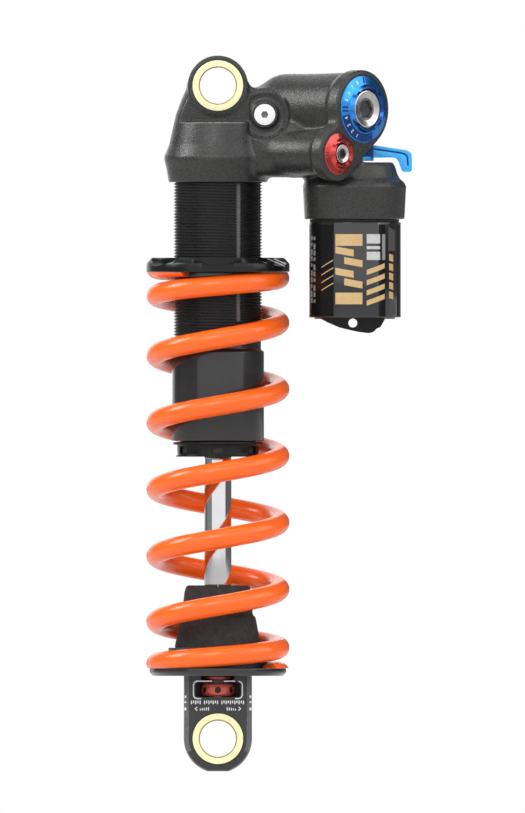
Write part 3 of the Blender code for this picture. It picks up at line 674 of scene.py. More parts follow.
def boss_clearance(x, y, z):
    """The moat that sets the boss apart from the bell and the valve housing."""
    radius = np.hypot(x - BOSS.x, z - BOSS.z)
    moat = rounded(radius - BOSS_R - 0.5, slab(y, -30.0, -BOSS_FRONT + 1.1), 0.8)
    return np.maximum(moat, BOSS_LEFT - 0.5 - x)


def cap_field(x, y, z):
    cap = polygon_distance(np.hypot(x - RESERVOIR.x, y - RESERVOIR.y), z, CAP)
    bridge = box_field(x, y, z, (12.0, -15.0, -31.6), (36.0, 5.5, -13.0), 4.0)
    web = box_field(x, y, z, (26.0, -14.0, -31.4), (44.0, 4.5, -27.4), 1.6)
    return smooth_min(smooth_min(bridge, web, 3.0), cap, 3.6)


def box_field(x, y, z, low, high, edge):
    reach = [slab(value, a, b) + edge for value, a, b in zip((x, y, z), low, high)]
    outside = np.sqrt(sum(np.maximum(r, 0.0) ** 2 for r in reach))
    return np.minimum(np.maximum(np.maximum(reach[0], reach[1]), reach[2]), 0.0) + outside - edge


def head_bores(x, y, z):
    side, rise, out = valve_coordinates(x, y, z)
    lower_side, lower_rise, _ = valve_coordinates(*LOWER_FACE)
    from_reservoir = np.hypot(x - RESERVOIR.x, y - RESERVOIR.y)
    bores = [
        np.hypot(x, z) - EYE_BORE_R,
        np.maximum(np.hypot(x, y) - THREAD_CLEAR_R, z + 26.6),
        np.maximum(from_reservoir - 15.6, z + 39.6),
        np.maximum(from_reservoir - 3.5, slab(z, -36.3, -24.0)),
        np.maximum(np.hypot(side, rise) - 10.0, slab(out, -30.0, 5.0)),
        np.maximum(np.hypot(side - lower_side, rise - lower_rise) - 5.4, slab(out, -26.0, 5.0)),
        np.maximum(np.hypot(x - BOSS.x, z - BOSS.z) - 3.95, y + 8.6),
    ]
    return np.minimum.reduce(bores)


def head_field(x, y, z):
    web = box_field(x, y, z, (8.0, -5.0, -14.0), (19.0, 5.0, -0.9), 1.0)
    body = smooth_min(eye_field(x, y, z), smooth_min(valve_field(x, y, z), web, 3.0), 3.0)
    body = smooth_min(body, cap_field(x, y, z), 2.6)
    body = smooth_max(body, -boss_clearance(x, y, z), 1.0)
    body = smooth_min(body, bleed_boss_field(x, y, z), 0.6)
    return np.maximum(body, -head_bores(x, y, z))


def make_head():
    step = 0.38
    verts, faces = field_surface(head_field, (-22.0, -40.0, -49.0), (69.0, 24.0, 13.0), step)
    head = add_piece("head_casting", verts, faces, "cast", "damper", sharp=180.0)
    relax = head.modifiers.new("relax", "SMOOTH")
    relax.factor = 0.35
    relax.iterations = 2
    apply_modifiers(head)
    finish_piece(head, "cast", "damper", 50.0)
    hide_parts("upper_head")
    # lay the ledge's painted shadow line and painted highlight line on the casting
    for name, look, left, right, height, half in LEDGE_LINES:
        line = laid_on(head, ((left, height), (right, height)), half)
        join_pieces(name, [line], look, "damper")


# ---------------------------------------------------------------- eyes
def make_bushes():
    """Flanged bushes with a chamfered mouth and a thin dark bore."""
    flange_r, shank_r, hole_r = 8.9, 7.5, 6.35
    face = EYE_HALF + 1.1
    mouth_r = hole_r + 0.42
    profile = [(mouth_r, face), (flange_r, face), (flange_r, EYE_HALF + 0.05),
               (shank_r, EYE_HALF + 0.05), (shank_r, 0.3), (mouth_r, 0.3)]
    liner = [(mouth_r, face - 0.12), (mouth_r, 0.3), (hole_r, 0.3), (hole_r, face - 0.5)]
    groove = [(flange_r - 0.3, EYE_HALF + 0.12), (flange_r + 0.32, EYE_HALF + 0.12),
              (flange_r + 0.32, EYE_HALF - 0.3), (flange_r - 0.3, EYE_HALF - 0.3)]
    for eye, centre, body in (("upper", Vector(), "damper"), ("lower", LOWER_EYE, "shaft_assembly")):
        for side, turn in (("front", FACING_FRONT), ("rear", FACING_BACK)):
            name = f"{eye}_bush_{side}"
            bush = lathe(f"{name}_body", profile, "bush", body, at(centre, turn), 96, 0.12, True)
            edge = lathe(f"{name}_edge", liner, "bush_edge", body, at(centre, turn), 96, 0.05, True)
            # a near black ring under the flange as painted shadow
            groove_shade = lathe(f"{name}_shadow", groove, "socket", body, at(centre, turn), 96, 0.05, True)
            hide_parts(name)


def make_bleed_screw():
    matrix = at(BOSS, FACING_FRONT)
    profile = [(0.0, 10.5), (3.8, 10.5), (3.8, 8.9), (2.3, 8.9), (2.3, -0.7), (0.0, -0.7)]
    screw = lathe("bleed_screw_body", profile, "screw", "damper", matrix, 64, 0.3)
    hex_socket(screw, matrix, 2.3, 8.6, 12.0, "screw", "damper")
    # the socket's floor takes the darker washer finish as painted shade
    shadow = painted_socket_shade("bleed_screw", 1.2, 9.0, "washer", "damper", matrix)
    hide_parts("bleed_screw")


def painted_socket_shade(prefix, radius, high, look, body, matrix):
    """A dark disc of painted shade at the bottom of a driven socket, with the drill's cone in its middle."""
    profile = [(0.0, high - 0.12 * radius), (0.75 * radius, high), (radius, high),
               (radius, high - 0.3), (0.8 * radius, high - 0.45), (0.0, high - 0.45)]
    return lathe(f"{prefix}_painted_socket_shade", profile, look, body, matrix, 32, 0.02)


def hex_socket(obj, matrix, across_flats, floor, high, look, body):
    combine(obj, tool_disc(across_flats / math.sqrt(3.0), high, floor, matrix, 6))
    finish_piece(obj, look, body)


# ---------------------------------------------------------------- adjusters
# radii of a dial's base, wall foot, crest and bore, then the heights of crest and rim
BLUE_SHAPE = (11.9, 8.35, 7.8, 6.85, 3.0, 1.2)
RED_SHAPE = (7.4, 5.2, 4.7, 3.45, 2.8, 1.0)
# the sector of each dial's rim, in degrees, that is given painted shade
SHADED_SECTOR = (193.0, 292.0)
DIGIT_ANGLES = (114.0, 130.0, 146.0, 162.0, 198.0, 214.0, 230.0, 246.0)


def digit(text, size, look, body, matrix, name):
    """A number that lies on a dial, as thin raised geometry."""
    curve = bpy.data.curves.new(name, "FONT")
    curve.body = text
    curve.size = size * MM
    curve.extrude = 0.04 * MM
    curve.align_x = "CENTER"
    curve.align_y = "CENTER"
    source = bpy.data.objects.new(name + "_text", curve)
    bpy.context.scene.collection.objects.link(source)
    graph = bpy.context.evaluated_depsgraph_get()
    mesh = bpy.data.meshes.new_from_object(source.evaluated_get(graph))
    bpy.data.objects.remove(source, do_unlink=True)
    placed = Matrix.Translation(matrix.translation * MM) @ matrix.to_3x3().to_4x4()
    mesh.transform(placed)
    obj = finish_piece(bpy.data.objects.new(name, mesh), look, body)
    return obj


def on_cone(matrix, radius, height, angle, lean):
    """A frame on a conical rim: local Z out of the cone, local Y away from the axis."""
    spin = Matrix.Rotation(angle - math.pi / 2, 4, "Z")
    return matrix @ spin @ Matrix.Translation((0.0, radius, height)) @ Matrix.Rotation(-lean, 4, "X")


def make_dial(prefix, face, shape, look, shade_look, body):
    """A knob with a sloping rim and a raised ring that has four notches; part of the rim and the ring's mouth are
    in painted shade.
    """
    base_r, wall_r, crest_r, bore_r, rise, rim_h = shape
    matrix = at(face, FACING_VALVE)
    profile = [(crest_r - 0.2, rise), (crest_r, rise), (wall_r, rim_h + 0.2), (wall_r + 0.35, rim_h),
               (base_r - 0.35, 0.45), (base_r, 0.25), (base_r, 0.05), (bore_r, 0.05),
               (bore_r, rise - 1.2)]
    dial = lathe(f"{prefix}_dial_body", profile, look, body, matrix, 144, 0.12, True)
    for i in range(4):
        spin = matrix @ Matrix.Rotation(math.radians(45.0 + 90.0 * i), 4, "Z")
        half = 0.07 * base_r
        cut_box(dial, (bore_r - 0.4, -half, rise - 0.55), (wall_r + 0.5, half, rise + 1.0), spin)
    finish_piece(dial, look, body, 30.0)

    # faces in the shaded sector of the rim and in the ring's mouth get painted shade
    def dark(centre, _):
        spot = matrix.inverted() @ centre
        reach = math.hypot(spot.x, spot.y)
        angle = math.degrees(math.atan2(spot.y, spot.x)) % 360.0
        on_rim = wall_r + 0.3 < reach < base_r - 0.3 and spot.z > 0.3
        in_mouth = reach < crest_r - 0.1 and spot.z > rise - 1.3
        return in_mouth or (on_rim and SHADED_SECTOR[0] < angle < SHADED_SECTOR[1])

    second_look(dial, shade_look, dark)
    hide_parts(f"{prefix}_dial")
    return matrix


def make_rim_slots(prefix, matrix, shape, look, body):
    """Pairs of darker patches on the sloping rim, a quarter turn apart, painted shade standing for notches."""
    base_r, wall_r, _, _, _, rim_h = shape
    inner, outer = wall_r + 0.45, base_r - 0.3
    lean = math.atan2(rim_h - 0.45, base_r - wall_r - 0.7)
    reach = 0.42 * (outer - inner)
    width = 0.062 * base_r
    pads = []
    for i in range(8):
        side = (-1.0, 1.0)[i % 2] * 0.85 * width
        place = on_cone(matrix, 0.5 * (inner + outer), 0.5 * (rim_h + 0.45),
                        math.radians(90.0 * (i // 2)), lean)
        outline = box_outline((side - 0.5 * width, -reach), (side + 0.5 * width, reach))
        pads.append(add_piece("pad", *prism_mesh(outline, 0.06, -0.2), look, None, place))
    join_pieces(f"{prefix}_rim_slots", pads, look, body)


def make_core(prefix, matrix, radius, face_h, across_flats, look, body):
    dish = face_h - 0.13 * radius
    inner_r, stem_r = 0.62 * radius, 0.4 * radius
    profile = [(0.0, dish), (inner_r, dish), (0.93 * radius, face_h), (radius, face_h - 0.15),
               (radius, 0.1), (inner_r, 0.1), (inner_r, -5.0), (stem_r, -5.2), (stem_r, -8.0),
               (0.0, -8.0)]
    core = lathe(f"{prefix}_core_body", profile, look, body, matrix, 96, 0.15)
    hex_socket(core, matrix, across_flats, face_h - 2.6, face_h + 1.0, look, body)
    floor = painted_socket_shade(prefix, 0.52 * across_flats, face_h - 2.0, "hex_painted_shade", body, matrix)
    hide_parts(f"{prefix}_core")


def make_numbers(prefix, matrix, radius, height, lean, size, angles, body):
    marks = []
    for i, angle in enumerate(angles):
        place = on_cone(matrix, radius, height, math.radians(angle), lean)
        marks.append(digit(str(len(angles) - i), size, "white_ink", body, place,
                           f"{prefix}_number_{i}"))
    join_pieces(f"{prefix}_numbers", marks, "white_ink", body)


def make_adjusters():
    blue = make_dial("compression", UPPER_FACE, BLUE_SHAPE, "blue", "blue_dial_painted_shade", "compression_knob")
    make_rim_slots("compression", blue, BLUE_SHAPE, "dark_blue", "compression_knob")
    make_numbers("compression", blue, 10.1, 0.86, math.radians(14.0), 1.9, DIGIT_ANGLES,
                 "compression_knob")
    make_core("compression", blue, 6.6, 2.1, 6.0, "core_grey", "compression_adjuster")
    red = make_dial("rebound", LOWER_FACE, RED_SHAPE, "red", "red_dial_painted_shade", "rebound_knob")
    make_rim_slots("rebound", red, RED_SHAPE, "dark_red", "rebound_knob")
    make_core("rebound", red, 3.3, 2.2, 3.0, "core_grey", "rebound_adjuster")
    make_face_marks()


def make_face_marks():
    """Ticks on the housing's end face round the rebound dial."""
    matrix = at(LOWER_FACE, FACING_VALVE)
    ticks = []
    for i in range(7):
        spin = matrix @ Matrix.Rotation(math.radians(-62.0 + 16.0 * i), 4, "Z")
        low, high = (7.75, -0.10, -0.1), (8.6 if i % 2 else 8.95, 0.10, 0.05)
        ticks.append(add_piece(f"tick_{i}", *box_mesh(low, high), "grey_ink", None, spin))
    join_pieces("rebound_scale", ticks, "grey_ink", "damper")


def make_lever():
    shape = [(RESERVOIR.x, -25.4), (56.0, -25.4), (62.2, -25.3), (63.4, -26.2), (64.1, -28.2),
             (64.9, -30.4), (67.8, -30.4), (68.4, -29.8), (68.3, -24.0), (66.9, -22.8),
             (54.4, -20.9), (51.0, -21.9), (RESERVOIR.x, -21.9)]
    matrix = at((0.0, RESERVOIR.y, 0.0), FACING_FRONT)
    half, groove_floor = 3.6, 2.9
    lever = add_piece("firm_lever_arm", *prism_mesh(soften(shape, 0.9), half, -half), "lever_blue",
                      None, matrix)
    hub = [(0.0, -22.0), (4.8, -22.0), (4.8, -25.0), (6.8, -25.0), (6.8, -26.5), (0.0, -26.5)]
    combine(lever, tool(*lathe_mesh(soften(hub, 0.3, False), 64, False), at(RESERVOIR)), "UNION")
    route = [(54.6, -22.25), (64.6, -23.75), (66.1, -24.3), (66.75, -25.3), (66.95, -28.2)]
    groove = stroke_outline(route, 0.6)
    for front, back in ((5.0, groove_floor), (-groove_floor, -5.0)):
        combine(lever, tool(*prism_mesh(groove, front, back), matrix))
    bevel(lever, 0.28, 3, 50.0)
    finish_piece(lever, "lever_blue", "lever")
    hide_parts("firm_lever")
    # a darker blue floor in the groove and on the hub's end as painted shade
    floor = add_piece("firm_lever_groove", *prism_mesh(groove, groove_floor + 0.05, 2.7),
                      "dark_blue", "lever", matrix)
    wedge = [(51.3, -25.3), (54.8, -25.3), (54.8, -21.3), (54.2, -21.1), (52.6, -23.2)]
    pads = [add_piece("pad", *prism_mesh(wedge, front, back), "dark_blue", None, matrix)
            for front, back in ((half + 0.06, half - 0.1), (0.1 - half, -half - 0.06))]
    join_pieces("lever_hub_shade", pads, "dark_blue", "lever")
    spindle = [(0.0, -21.2), (3.8, -21.2), (3.8, -21.85), (2.2, -21.85), (2.2, -26.8), (3.2, -26.8),
               (3.2, -36.0), (0.0, -36.0)]
    screw = lathe("lever_spindle_body", spindle, "steel", "lever", at(RESERVOIR), 48, 0.25)
    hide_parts("lever_spindle")


# ---------------------------------------------------------------- reservoir
def make_reservoir():
    tube = [(15.0, -39.9), (15.0, -48.1), (16.3, -48.1), (16.3, -81.7), (14.6, -81.7),
            (14.6, -50.0), (13.4, -51.0), (13.4, -39.9)]
    body = lathe("reservoir_sleeve", tube, "gloss_black", "damper", at(RESERVOIR), 160, 0.35)
    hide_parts("reservoir_tube")
    gap = [(15.75, -47.1), (15.75, -48.05), (15.2, -48.05), (15.2, -47.1)]
    ring = lathe("reservoir_gap_ring", gap, "rubber", "damper", at(RESERVOIR), 96, 0.2)
    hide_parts("reservoir_ring")
    make_end_cap()
    make_graphics()


def make_end_cap():
    shape = [(59.0, -81.9), (57.2, -85.2), (56.1, -85.4), (54.8, -86.8), (53.2, -87.2), (49.9, -86.8),
             (47.4, -86.3), (42.8, -85.2), (38.6, -83.4), (35.8, -81.9)]
    matrix = at((0.0, RESERVOIR.y, 0.0), FACING_FRONT)
    cap = add_piece("reservoir_end_plug", *prism_mesh(soften(shape[::-1], 0.5), 8.5, -8.5), "cast",
                    None, matrix)
    base = [(0.0, -77.6), (14.2, -77.6), (14.2, -82.15), (0.0, -82.15)]
    combine(cap, tool(*lathe_mesh(base, 96, False), at(RESERVOIR)), "UNION")
    hole_at = at((47.5, RESERVOIR.y, -83.6), FACING_FRONT)
    combine(cap, tool_disc(1.56, 20.0, -20.0, hole_at, 48))
    fill_at = at((52.3, RESERVOIR.y, 0.0))
    combine(cap, tool_disc(2.2, -80.8, -95.0, fill_at, 32))
    bevel(cap, 0.35, 3, 40.0)
    finish_piece(cap, "plug_black", "damper")
    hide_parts("reservoir_end_cap")
    screw = [(0.0, -81.1), (1.9, -81.1), (1.9, -86.6), (1.0, -86.6), (1.0, -84.6), (0.0, -84.6)]
    fill = lathe("gas_fill_plug", screw, "steel", "damper", fill_at, 48, 0.2)
    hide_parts("gas_fill_screw")


def wrapped(name, quads, look, radius):
    """Flat patches, drawn as seen from the front, wrapped round the reservoir."""
    verts, faces = [], []
    for quad in quads:
        corners = [Vector((radius * math.asin(x / radius), z)) for x, z in quad]
        width = max((corners[1] - corners[0]).length, (corners[2] - corners[3]).length)
        columns = max(2, int(width / 0.5))
        start = len(verts)
        for i in range(columns + 1):
            share = i / columns
            for low, high in ((0, 1), (3, 2)):
                spot = corners[low].lerp(corners[high], share)
                angle = spot.x / radius
                for depth in (0.05, -0.06):
                    verts.append((RESERVOIR.x + (radius + depth) * math.sin(angle),
                                  RESERVOIR.y - (radius + depth) * math.cos(angle), spot.y))
        faces += ribbon_faces(start, columns)
    return add_piece(name, verts, faces, look, "damper")


def bar(left, right, high, low, lean=0.0):
    return [(left, low), (right, low), (right, high + lean), (left, high)]


def make_graphics():
    """Plain blocks, stripes and fine lines in place of lettering, and dull bands of painted shade down the sleeve.
    """
    radius = half_width("reservoir_tube")
    left, right, inset = -6.7, 2.8, 3.1
    blocks = [bar(left, right, high, low) for high, low in ((-52.3, -56.4), (-72.9, -77.0))]
    for step in range(4):
        high = -57.6 - 3.75 * step
        start, end = left + (0.0, inset)[step % 2], right - (inset, 0.0)[step % 2]
        blocks.append([(start, high - 1.4), (end, high - 2.6), (end, high - 0.2),
                       (start, high + 1.0)])
    left, right = 4.3, 10.6
    for step in range(4):
        high = -63.6 - 3.6 * step
        blocks.append([(left, high - 3.1), (right, high - 0.7), (right, high + 1.1),
                       (left, high - 1.3)])
    rows = ((-52.3, -55.6), (-56.5, -57.6), (-58.5, -61.4))
    silver_bars = [bar(left, 9.0, high, low) for high, low in rows]
    fine = []
    for column, (left, right) in enumerate(((-15.2, -14.75), (-14.35, -13.75))):
        for row in range(10):
            high = -52.8 - 2.45 * row - 0.4 * column
            fine.append(bar(left, right, high, high - (1.7, 1.2, 2.0)[(row + column) % 3]))
    fine.append(bar(9.7, 10.8, -52.3, -61.4))
    # painted shade: dull near black bands down the sleeve where its gloss reads dark
    sides = [bar(left, right, -48.9, -81.3)
             for left, right in ((-15.9, -7.3), (8.5, 10.9), (14.9, 15.9))]
    panels = [bar(11.9, 14.2, -49.6, -58.2, -1.6), bar(11.9, 14.2, -77.2, -80.4)]
    stripes = []
    for row in range(5):
        high = -59.2 - 3.3 * row
        stripes.append([(12.2, high - 2.4), (13.6, high - 2.9), (13.6, high - 0.5), (12.2, high)])
    for row in range(4):
        low = -64.2 - 2.7 * row
        stripes.append([(-11.6, low), (-7.4, low + 2.6), (-7.4, low + 2.95), (-11.6, low + 0.35)])
    sunk = 0.03
    layers = (("gold_blocks", blocks, "gold_ink", radius),
              ("silver_blocks", silver_bars, "silver_ink", radius),
              ("fine_lines", fine, "grey_ink", radius),
              ("painted_shade_panels", sides, "sleeve_shade", radius - sunk),
              ("dark_panels", panels, "dark_ink", radius),
              ("gold_stripes", stripes, "gold_ink", radius))
    for name, quads, look, face_r in layers:
        piece = wrapped(f"reservoir_{name}", quads, look, face_r)


# ---------------------------------------------------------------- damper body
THREAD_TOP, THREAD_BOTTOM, THREAD_PITCH = -27.2, -88.5, 1.06
THREAD_MAJOR, THREAD_MINOR, TUBE_BORE_R = 15.6, 14.98, 13.8
# the bores of the parts that run on the thread, and of those that run on the shaft
THREAD_CLEAR_R, SHAFT_CLEAR_R = 15.95, 5.05
KEY_TURN = math.asin(7.6 / THREAD_MAJOR)


def thread_mesh(segments):
    """A wall with a helical ridge: rows follow the helix and stop at both ends."""
    ridge = [(0.0, THREAD_MINOR), (0.14, THREAD_MINOR), (0.46, THREAD_MAJOR), (0.62, THREAD_MAJOR),
             (0.92, THREAD_MINOR)]
    per_turn = len(ridge)
    turns = int((THREAD_TOP - THREAD_BOTTOM) / THREAD_PITCH) + 3
    rows = per_turn * turns
    verts, faces = [], []
    for column in range(segments):
        angle = 2.0 * math.pi * column / segments
        for row in range(rows):
            share, radius = ridge[row % per_turn]
            drop = row // per_turn + share - column / segments
            z = THREAD_TOP + THREAD_PITCH - THREAD_PITCH * drop
            if z > THREAD_TOP or z < THREAD_BOTTOM:
                z, radius = min(max(z, THREAD_BOTTOM), THREAD_TOP), THREAD_MINOR
            verts.append((radius * math.cos(angle), radius * math.sin(angle), z))
    for column in range(segments):
        wrap = per_turn if column == segments - 1 else 0
        after = (column + 1) % segments
        for row in range(wrap, rows - 1):
            a, b = column * rows + row, after * rows + row - wrap
            faces.append([a, a + 1, b + 1, b])
    return verts, faces


def make_thread():
    segments = 144
    thread = add_piece("tube_thread", *thread_mesh(segments), "thread_black", None)
    shape = bmesh.new()
    shape.from_mesh(thread.data)
    bmesh.ops.remove_doubles(shape, verts=shape.verts, dist=0.002 * MM)
    bmesh.ops.dissolve_degenerate(shape, edges=shape.edges, dist=0.001 * MM)
    loose = [edge for edge in shape.edges if edge.is_boundary]
    bmesh.ops.holes_fill(shape, edges=loose, sides=0)
    bmesh.ops.recalc_face_normals(shape, faces=shape.faces)
    shape.to_mesh(thread.data)
    shape.free()
    combine(thread, tool_disc(TUBE_BORE_R, THREAD_TOP + 5.0, THREAD_BOTTOM - 5.0, segments=96))
    key_matrix = Matrix.Rotation(KEY_TURN, 4, "Z") @ FACING_FRONT
    keyway = soften(box_outline((-0.95, -83.1), (0.95, -34.5)), 0.93, True, 6)
    combine(thread, tool(*prism_mesh(keyway, 18.0, 14.4), key_matrix))
    finish_piece(thread, "thread_black", "damper", 30.0)
    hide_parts("damper_tube")
    floor = add_piece("keyway_floor", *prism_mesh(keyway, 14.55, 14.2), "keyway", "damper",
                      key_matrix)


def make_tube():
    make_thread()
    neck = [(14.9, -88.4), (15.2, -88.8), (15.2, -92.85), (16.24, -93.6), (16.24, -125.07),
            (TUBE_BORE_R, -125.07), (TUBE_BORE_R, -88.4)]
    lower = lathe("tube_lower_body", neck, "tube_black", "damper", segments=160, edge=0.35)
    seal_head = [(13.4, -112.2), (13.4, -125.5), (15.8, -125.5), (15.8, -126.4), (14.3, -126.6),
                 (14.3, -130.0), (14.8, -130.2), (14.8, -130.7), (8.5, -130.7), (8.5, -127.9),
                 (6.3, -127.9), (6.3, -119.0), (SHAFT_CLEAR_R, -118.7), (SHAFT_CLEAR_R, -118.2),
                 (8.5, -118.2), (8.5, -112.2)]
    plug = lathe("seal_head_body", seal_head, "tube_black", "damper", segments=128, edge=0.15)
    for i in range(6):
        spin = Matrix.Rotation(math.radians(30.0 + 60.0 * i), 4, "Z")
        cut_box(plug, (13.3, -2.3, -129.6), (17.0, 2.3, -127.2), spin)
    finish_piece(plug, "ring_black", "damper", 30.0)
    # a dark band inside the notches as painted shade
    floor = [(13.3, -126.9), (13.42, -127.3), (13.42, -129.5), (13.3, -129.8), (13.0, -129.8),
             (13.0, -126.9)]
    shade = lathe("seal_head_notch_shade", floor, "socket", "damper", edge=0.02)
    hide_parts("seal_head")


def make_shaft():
    profile = [(3.0, -92.0), (3.0, -110.6), (4.75, -110.6), (4.75, -207.6), (3.4, -207.6),
               (3.4, -220.4), (1.7, -220.4), (1.7, -92.0)]
    shaft = lathe("shaft_chrome", profile, "chrome", "shaft_assembly", edge=0.2)
    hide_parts("shaft")


def make_bumper():
    profile = [(10.6, -175.96), (11.3, -176.6), (11.8, -178.4), (12.25, -182.4), (12.2, -186.0),
               (12.6, -186.6), (13.3, -187.3), (15.25, -197.94), (SHAFT_CLEAR_R, -197.94),
               (SHAFT_CLEAR_R, -175.96)]
    bumper = lathe("bumper_rubber", profile, "rubber", None, edge=0.5)
    notch = [(-1.1, -175.0), (0.0, -177.4), (1.1, -175.0)]
    combine(bumper, tool(*prism_mesh(notch, 20.0, -20.0), FACING_FRONT))
    finish_piece(bumper, "rubber", "shaft_assembly")
    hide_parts("bottom_bumper")
    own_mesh(bumper)


def make_retainer():
    profile = [(16.9, -198.6), (16.9, -205.2), (24.0, -205.2), (24.0, -206.8),
               (22.9, -207.9), (SHAFT_CLEAR_R, -207.9), (SHAFT_CLEAR_R, -198.6)]
    plate = lathe("retainer_plate", profile, "tube_black", "shaft_assembly", segments=160, edge=0.3)
    # the boss ring takes a lighter grey-blue finish as a painted highlight
    boss = [(17.4, -197.95), (17.4, -205.1), (15.4, -205.1), (15.4, -197.95)]
    edge = lathe("retainer_boss", boss, "boss_painted_highlight", "shaft_assembly", segments=128, edge=0.02)
    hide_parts("lower_retainer")


def make_preload():
    scoop_r, scoop_z, scoops = 17.0, -46.6, 6
    spacing = 2.0 * math.pi / scoops

    def scooped(angle, radius, height):
        if radius < 19.65 or height < -63.5:
            return radius, height
        off = (angle + math.pi / 2 + 0.5 * spacing) % spacing - 0.5 * spacing
        across = radius * math.sin(off)
        return radius, min(height, scoop_z - math.sqrt(max(scoop_r ** 2 - across ** 2, 0.0)))

    profile = [(19.7, -60.6), (23.0, -60.6), (23.6, -60.9), (25.05, -62.5), (25.25, -62.9),
               (25.25, -65.35), (24.9, -65.7), (16.3, -65.7), (THREAD_CLEAR_R, -65.3),
               (THREAD_CLEAR_R, -61.0), (16.3, -60.6), (19.55, -60.6)]
    verts, faces = lathe_mesh(profile, 288, True, scooped)
    ring = add_piece("preload_collar_ring", verts, faces, "ring_black", "preload_collar", sharp=28.0)

    def in_scoop(centre, _):
        radius = math.hypot(centre.x, centre.y)
        lowered = scooped(math.atan2(centre.y, centre.x), radius, -60.0)[1]
        return radius > 19.9 and abs(centre.z - lowered) < 0.12

    # the floors of the ring's scoops take a near black finish as painted shade
    second_look(ring, "scoop_painted_shade", in_scoop)
    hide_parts("preload_ring")
    # two white stripes along the edges of a scooped hollow as painted highlights
    routes = (((17.5, -61.0), (23.6, -63.6)), ((19.7, -61.0), (24.0, -62.9)))
    marks = [laid_on(ring, route, 0.16) for route in routes]
    join_pieces("preload_painted_highlights", marks, "white_ink", "preload_collar")
    pilot = [(17.4, -65.75), (17.4, -67.4), (THREAD_CLEAR_R, -67.4), (THREAD_CLEAR_R, -65.75)]
    washer = lathe("preload_pilot", pilot, "washer", "preload_carrier", segments=128, edge=0.3)
    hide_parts("preload_washer")


# ---------------------------------------------------------------- spring
MEAN_R, WIRE_R, TURNS = 21.6, 3.6, 7.75
START_TURN, START_Z = math.radians(238.0), -63.7
END_PITCH, ACTIVE_PITCH, PITCH_START, PITCH_FULL = 5.0, 23.5, 0.1, 2.0
SPRING_TOP = top("preload_washer") + 0.28
SPRING_BOTTOM = -205.18


def spring_line(per_turn):
    """The wire's centre line as angles and heights, from its top end to its bottom end."""
    count = round(TURNS * per_turn)
    turns = np.linspace(0.0, TURNS, count + 1)
    middles = 0.5 * (turns[1:] + turns[:-1])
    share = ease(np.minimum(middles, TURNS - middles), PITCH_START, PITCH_FULL)
    drop = (END_PITCH + (ACTIVE_PITCH - END_PITCH) * share) * np.diff(turns)
    heights = START_Z - np.concatenate([[0.0], np.cumsum(drop)])
    return START_TURN - 2.0 * math.pi * turns, heights


def make_spring():
    per_turn, sides = ((64, 24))
    angles, heights = spring_line(per_turn)
    verts, faces = [], []
    for i, (angle, height) in enumerate(zip(angles, heights)):
        slope = (heights[min(i + 1, len(heights) - 1)] - heights[max(i - 1, 0)])
        run = MEAN_R * (angles[min(i + 1, len(angles) - 1)] - angles[max(i - 1, 0)])
        tangent = Vector((-math.sin(angle) * run, math.cos(angle) * run, slope)).normalized()
        outward = Vector((math.cos(angle), math.sin(angle), 0.0))
        up = tangent.cross(outward)
        centre = outward * MEAN_R + Vector((0.0, 0.0, height))
        for turn in ring_of(sides):
            verts.append(tuple(centre + (outward * math.cos(turn) + up * math.sin(turn)) * WIRE_R))
    for i in range(len(angles) - 1):
        for j in range(sides):
            k = (j + 1) % sides
            faces.append([i * sides + j, i * sides + k, (i + 1) * sides + k, (i + 1) * sides + j])
    faces.append(list(range(sides))[::-1])
    faces.append([len(verts) - sides + j for j in range(sides)])
    spring = add_piece("spring_coil", verts, faces, "orange", None)
    fix_normals(spring)
    cut_slab(spring, SPRING_TOP, -50.0)
    cut_slab(spring, -220.0, SPRING_BOTTOM)
    finish_piece(spring, "orange", None, 40.0)
    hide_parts("coil_spring")
    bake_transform(spring, "damper", "shaft_assembly", start=(0, 0, SPRING_TOP * MM),
             end=(0, 0, SPRING_BOTTOM * MM))
    follow_wire(spring, angles, heights)


def follow_wire(spring, angles, heights):
    """Weight each point by its place along the wire, so that the wire stays round.

    The closed coils at the ends ride whole with the parts that they sit on.
    """
    closed_top, closed_bottom = 5.9, 5.7
    upper, lower = heights[0] - closed_top, heights[-1] + closed_bottom
    shares = np.clip((upper - heights) / (upper - lower), 0.0, 1.0)
    weights = spring.data.attributes["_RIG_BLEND"]
    for i, vert in enumerate(spring.data.vertices):
        x, y, z = (value / MM for value in vert.co)
        turn = (angles[0] - math.atan2(y, x)) / (2.0 * math.pi)
        wraps = turn - math.floor(turn) + np.arange(-1, int(TURNS) + 2)
        places = np.clip(wraps / TURNS, 0.0, 1.0) * (len(heights) - 1)
        near = np.interp(places, np.arange(len(heights)), heights)
        beyond = np.abs(wraps / TURNS * (len(heights) - 1) - places)
        best = places[np.argmin(np.abs(near - z) + 50.0 * beyond)]
        weights.data[i].value = float(np.interp(best, np.arange(len(heights)), shares))


